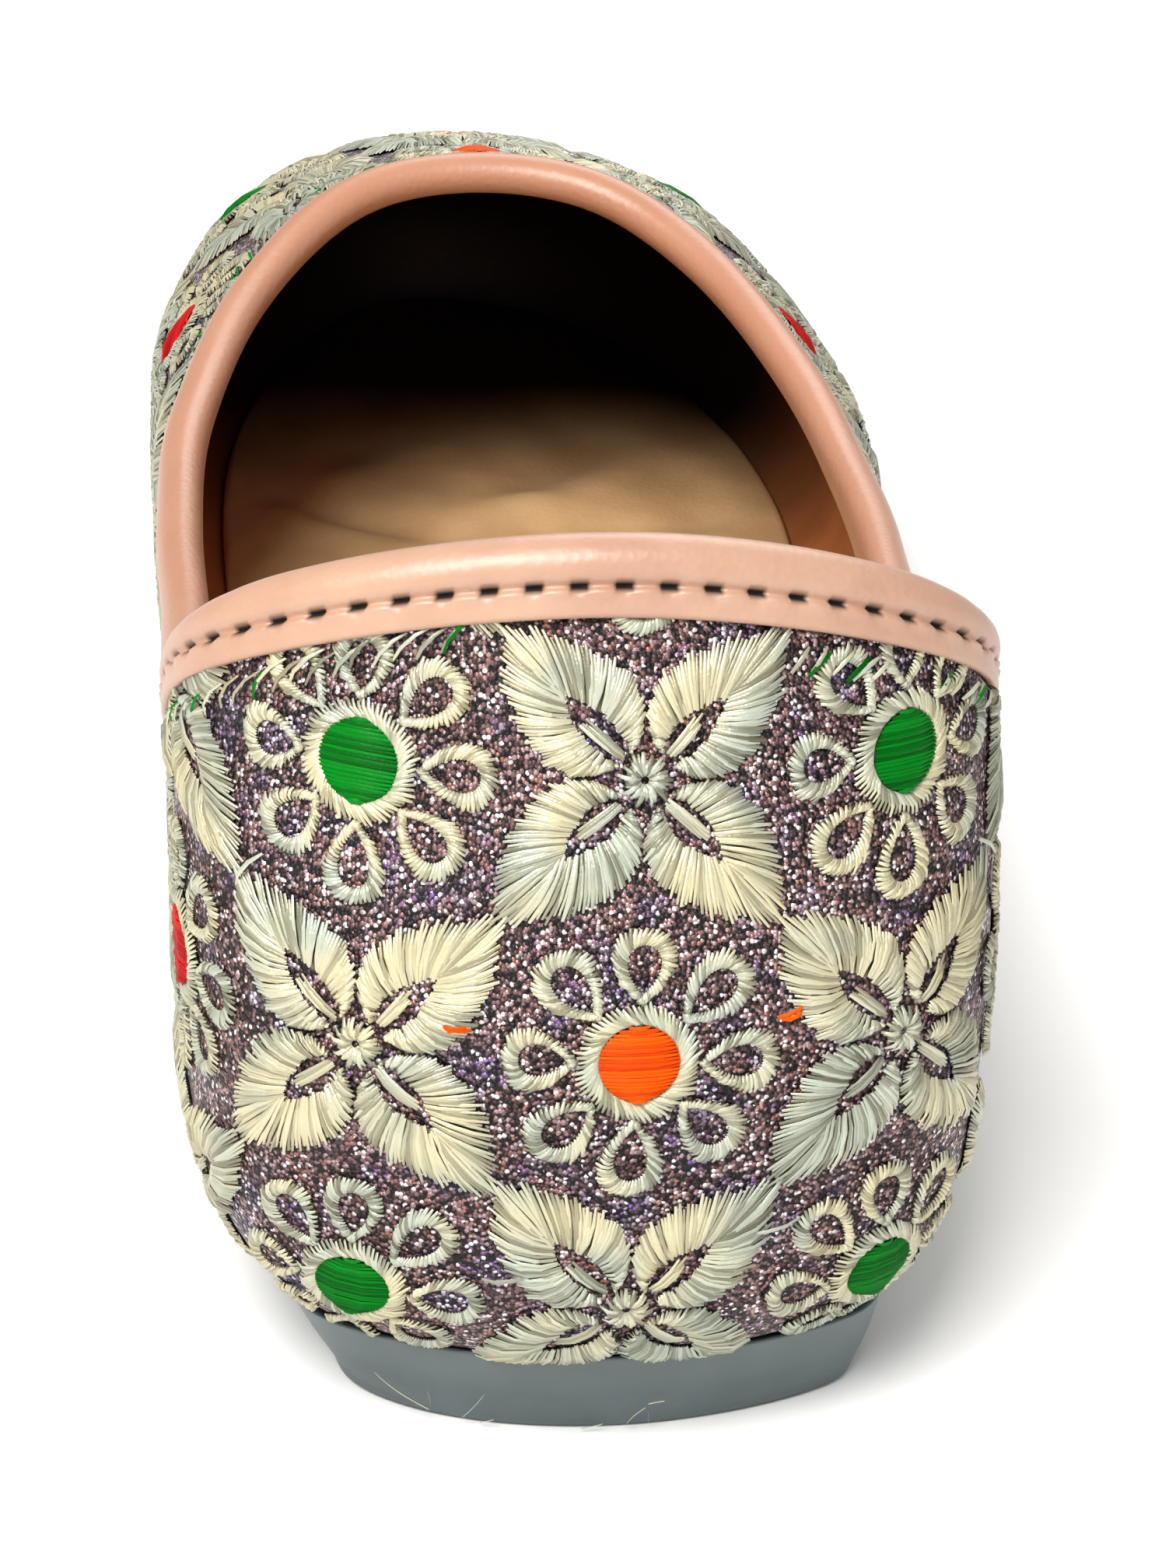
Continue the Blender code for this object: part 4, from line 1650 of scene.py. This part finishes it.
@dataclass
class Insole:
    """Padded insole with soft wrinkles."""

    workshop: Workshop
    columns: int = 360
    rings_inward: int = 60
    pad: float = 0.0026
    crown: float = 0.0007
    rim_out: float = 0.0014
    foot_in: float = 0.0010
    spine_from_heel: float = 0.030
    spine_from_toe: float = 0.032
    spine_gap: float = 0.00003
    waves: tuple = ((0.0002, 180, 120, 0), (0.00015, -130, 260, 0), (0.0001, 420, 300, 0))

    def wrinkles(self) -> tuple[Crease, ...]:
        """Wrinkles and dimples of the pad."""
        return (
            Crease((-0.0105, 0.1755, 0.0105), (0.887, -0.461, 0.0), 0.013, 0.0034, 0.0017),
            Crease((0.005, 0.1785, 0.0105), (0.90, 0.44, 0.0), 0.009, 0.0036, -0.0012),
            Crease((-0.011, 0.198, 0.0105), (0.80, 0.60, 0.0), 0.008, 0.0045, 0.0014),
            Crease((0.029, 0.178, 0.0105), (0.35, 0.94, 0.0), 0.006, 0.0035, 0.0012),
            Crease((0.012, 0.191, 0.0105), (0.60, 0.80, 0.0), 0.014, 0.0038, 0.0013),
            Crease((-0.022, 0.175, 0.0105), (0.45, 0.89, 0.0), 0.009, 0.0030, -0.0010),
            Crease((0.018, 0.173, 0.0105), (0.95, 0.30, 0.0), 0.009, 0.0026, 0.0009),
            Crease((0.016, 0.120, 0.0105), (0.35, 0.94, 0.0), 0.014, 0.0040, 0.0009),
            Crease((-0.010, 0.090, 0.0105), (0.90, 0.44, 0.0), 0.014, 0.0040, 0.0008),
        )

    def build(self, material: bpy.types.Material) -> bpy.types.Object:
        """Makes the pad: a closed form that narrows to a spine under and over."""
        form = self.workshop.form
        ribs = self.workshop.ribs(self.columns)
        over_margin = form.wall + 2 * form.clearance
        rim = ribs.on_sole(ribs.tuck - self.rim_out)
        foot = ribs.on_sole(ribs.tuck + self.foot_in)
        fill = ribs.on_sole(ribs.tuck + form.lasting_margin + 2 * form.clearance)
        middle = (rim[:, 0].max() + rim[:, 0].min()) / 2
        low, high = rim[:, 1].min() + self.spine_from_heel, rim[:, 1].max() - self.spine_from_toe
        spine = np.column_stack([np.full(self.columns, middle), np.clip(rim[:, 1], low, high), rim[:, 2]])
        spine[:, 0] = middle * eased(low, high, spine[:, 1])
        levels = []
        spread = np.linspace(0, 1, self.rings_inward)
        for share in spread[::-1]:
            ring = fill + (spine - fill) * share
            ring[:, 2] = form.sole_top(ring[:, 1]) + form.clearance
            levels.append(ring)
        edge = [(fill, over_margin), (foot, over_margin), (foot, over_margin + 0.3 * self.pad),
                (rim, over_margin + 0.55 * self.pad), (rim, over_margin + 0.85 * self.pad)]
        for ring, height in edge:
            lifted = ring.copy()
            lifted[:, 2] += height
            levels.append(lifted)
        for share in spread:
            ring = rim + (spine - rim) * (0.015 + 0.985 * share)
            dome = self.crown * (1 - (1 - share) ** 3)
            ring[:, 2] = form.sole_top(ring[:, 1]) + over_margin + self.pad + dome
            levels.append(ring)
        points = np.array(levels)
        top = points[len(edge) + self.rings_inward:]
        flat_up = np.broadcast_to(UP, top.shape)
        pressed = creased(top, flat_up, self.wrinkles())
        pressed[..., 2] += ripple(top, self.waves)
        points[len(edge) + self.rings_inward:] = pressed
        faces = Workshop.grid_faces(len(points), self.columns, True)
        insole = self.workshop.piece("insole_pad", points, faces, material)
        weld = insole.modifiers.new("spine", "WELD")
        weld.merge_threshold = self.spine_gap
        settle(insole, weld)
        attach(insole, BODY)
        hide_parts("insole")
        return insole


@dataclass
class MouldedSole:
    """Moulded sole: flat heel and tread, arch, rounded lip."""

    workshop: Workshop
    lip: float = 0.0017
    taper: float = 0.0022
    taper_medial: float = 0.0017
    taper_lateral: float = -0.0005
    lip_lateral: float = 0.0009
    lip_back: float = 0.0007
    rim: float = 0.0007
    edge: float = 0.0008
    bulge: float = 0.00025
    heel_end: tuple[float, float] = (0.040, 0.095)
    columns: int = 420

    def build(self, material: bpy.types.Material) -> bpy.types.Object:
        """Makes the sole, closed above and below along its spine."""
        form = self.workshop.form
        ribs = self.workshop.ribs(self.columns)
        levels = []
        at_heel = 1 - eased(*self.heel_end, ribs.on_sole(ribs.tuck)[:, 1:2])
        beside = eased(0.1, 0.8, np.abs(ribs.out[:, :1]))
        lateral = ribs.out[:, :1] > 0
        side_taper = np.where(lateral, self.taper_lateral, self.taper_medial) * beside
        edge = self.edge * (1 + beside)
        lip = self.lip + np.where(lateral, self.lip_lateral, 0) * beside
        lip = lip - self.lip_back * at_heel * (1 - beside)
        tread = ribs.tuck - lip + self.taper + edge + side_taper
        for inset in (0.012, 0.006, 0.001, 0.0):
            ring = ribs.on_sole(tread + inset)
            ring[:, 2] = form.sole_bottom(ring[:, 1])
            levels.append(ring)
        for share in (0.25, 0.6, 1.0):
            ring = ribs.on_sole(tread - edge * math.sin(share * math.pi / 2))
            ring[:, 2] = form.sole_bottom(ring[:, 1]) + edge[:, 0] * (1 - math.cos(share * math.pi / 2))
            levels.append(ring)
        for share in (0.12, 0.3, 0.5, 0.7, 0.88, 0.96):
            bulge = self.bulge * math.sin(math.pi * share)
            inset = tread - edge - (self.taper + side_taper) * share - bulge
            ring = ribs.on_sole(inset)
            low = form.sole_bottom(ring[:, 1]) + edge[:, 0]
            ring[:, 2] = low + (form.sole_top(ring[:, 1]) + self.rim - low) * share
            levels.append(ring)
        for rise, inset in ((self.rim, 0.0), (self.rim, 0.0003), (0.0, 0.0016), (0.0, 0.010), (0.0, 0.016)):
            ring = ribs.on_sole(ribs.tuck - lip + inset)
            ring[:, 2] += rise
            levels.append(ring)
        points = np.array(levels)
        rows = len(points)
        faces = Workshop.grid_faces(rows, self.columns, True)
        last = (rows - 1) * self.columns
        for column in range(self.columns // 2):
            across = self.columns - column
            corners = list(dict.fromkeys((column, column + 1, across - 1, across % self.columns)))
            faces.append(tuple(reversed(corners)))
            faces.append(tuple(last + corner for corner in corners))
        sole = self.workshop.piece("sole", points, faces, material)
        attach(sole, BODY)
        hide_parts("outsole")
        return sole


@dataclass
class Studio:
    """Pale floor, soft lights and the camera, from the photo's angle."""

    workshop: Workshop
    camera_spot: tuple[float, float, float] = (-0.0326, -0.2614, 0.1914)
    pitch: float = 20.296
    yaw: float = 0.633
    focal: float = 2411.6
    principal: tuple[float, float] = (754.0, 751.0)
    window_centre: tuple[float, float] = (1022.0, 1008.0)
    window_height: float = 960.0
    off_axis_scale: float = 1.018
    lights: tuple = (("key", (-0.37, -0.68, 1.0), 0.65, 21.5, (1.0, 0.98, 0.95)),
                     ("fill", (0.10, -1.05, 0.24), 0.4, 0.8, (0.97, 0.98, 1.0)),
                     ("back", (0.30, 1.0, 0.9), 0.8, 6.0, (1, 1, 1)))
    light_target: tuple[float, float, float] = (0, 0, 0.03)
    world_strength: float = 0.37
    floor_reach: float = 3.0

    def camera(self) -> None:
        """Sets the camera where the photo was taken, turned to look at this shoe."""
        data = bpy.data.cameras.new("camera")
        data.sensor_width = 36.0
        data.lens = self.focal * self.off_axis_scale * data.sensor_width / self.window_height
        camera = bpy.data.objects.new("camera", data)
        camera.location = Vector(np.array(self.camera_spot) + self.workshop.offset)
        level = Euler((math.radians(90 - self.pitch), 0, math.radians(self.yaw))).to_quaternion()
        across = self.window_centre[0] - self.principal[0]
        down = self.window_centre[1] - self.principal[1]
        ray = Vector((across, -down, -self.focal))
        turn = Vector((0, 0, -1)).rotation_difference(ray)
        camera.rotation_mode = "QUATERNION"
        camera.rotation_quaternion = level @ turn
        bpy.context.scene.collection.objects.link(camera)
        bpy.context.scene.camera = camera

    def light(self, name: str, spot: tuple, size: float, power: float, colour: tuple) -> None:
        """Adds a square softbox that faces the shoe.

        Args:
            name: its name.
            spot: where it hangs.
            size: its side.
            power: its power in watts.
            colour: its colour.
        """
        data = bpy.data.lights.new(name, "AREA")
        data.shape = "SQUARE"
        data.size = size
        data.energy = power
        data.color = colour
        lamp = bpy.data.objects.new(name, data)
        lamp.location = spot
        lamp.rotation_mode = "QUATERNION"
        lamp.rotation_quaternion = (Vector(self.light_target) - Vector(spot)).to_track_quat("-Z", "Y")
        bpy.context.scene.collection.objects.link(lamp)

    def build(self) -> None:
        """Makes the floor, lights, world and camera."""
        bpy.context.scene.view_settings.view_transform = "Standard"
        corners = self.floor_reach * np.array([(-1, -1, 0), (1, -1, 0), (1, 1, 0), (-1, 1, 0)])
        points = corners - self.workshop.offset
        floor = self.workshop.piece("floor", points, [(0, 1, 2, 3)], StudioPaper().material())
        for name, spot, size, power, colour in self.lights:
            self.light(name, spot, size, power, colour)
        world = bpy.data.worlds.new("studio")
        bpy.context.scene.world = world
        world.use_nodes = True
        background = world.node_tree.nodes["Background"]
        background.inputs["Color"].default_value = (1, 1, 1, 1)
        background.inputs["Strength"].default_value = self.world_strength
        self.camera()


def main() -> None:
    """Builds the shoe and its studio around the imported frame."""
    logging.basicConfig(level=logging.INFO, format="%(name)s %(message)s")
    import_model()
    workshop = Workshop.from_frame(ShoeForm())
    cloth = GlitterCloth().material()
    panels = {panel: ClothPanel(workshop, panel) for panel in Panel}
    for panel in panels.values():
        panel.build(cloth)
    finishes = {name: finish.material() for name, finish in THREADS.items()}
    Embroidery(workshop, panels, finishes=finishes).build()
    for panel in panels.values():
        panel.close()
    strokes = EdgeStrokes(workshop)
    strokes.build("cream_edge_stitches", 61, 0.9, finishes["cream"])
    strokes.build("green_edge_stitches", 67, 0.3, finishes["green"])
    LooseFibres(workshop).build(finishes["cream"])
    Lining(workshop).build(LINING_LEATHER.material())
    Binding(workshop).build(PEACH_LEATHER.material())
    Insole(workshop).build(INSOLE_LEATHER.material())
    MouldedSole(workshop).build(MouldedRubber().material())
    Studio(workshop).build()


if __name__ == "__main__":
    main()
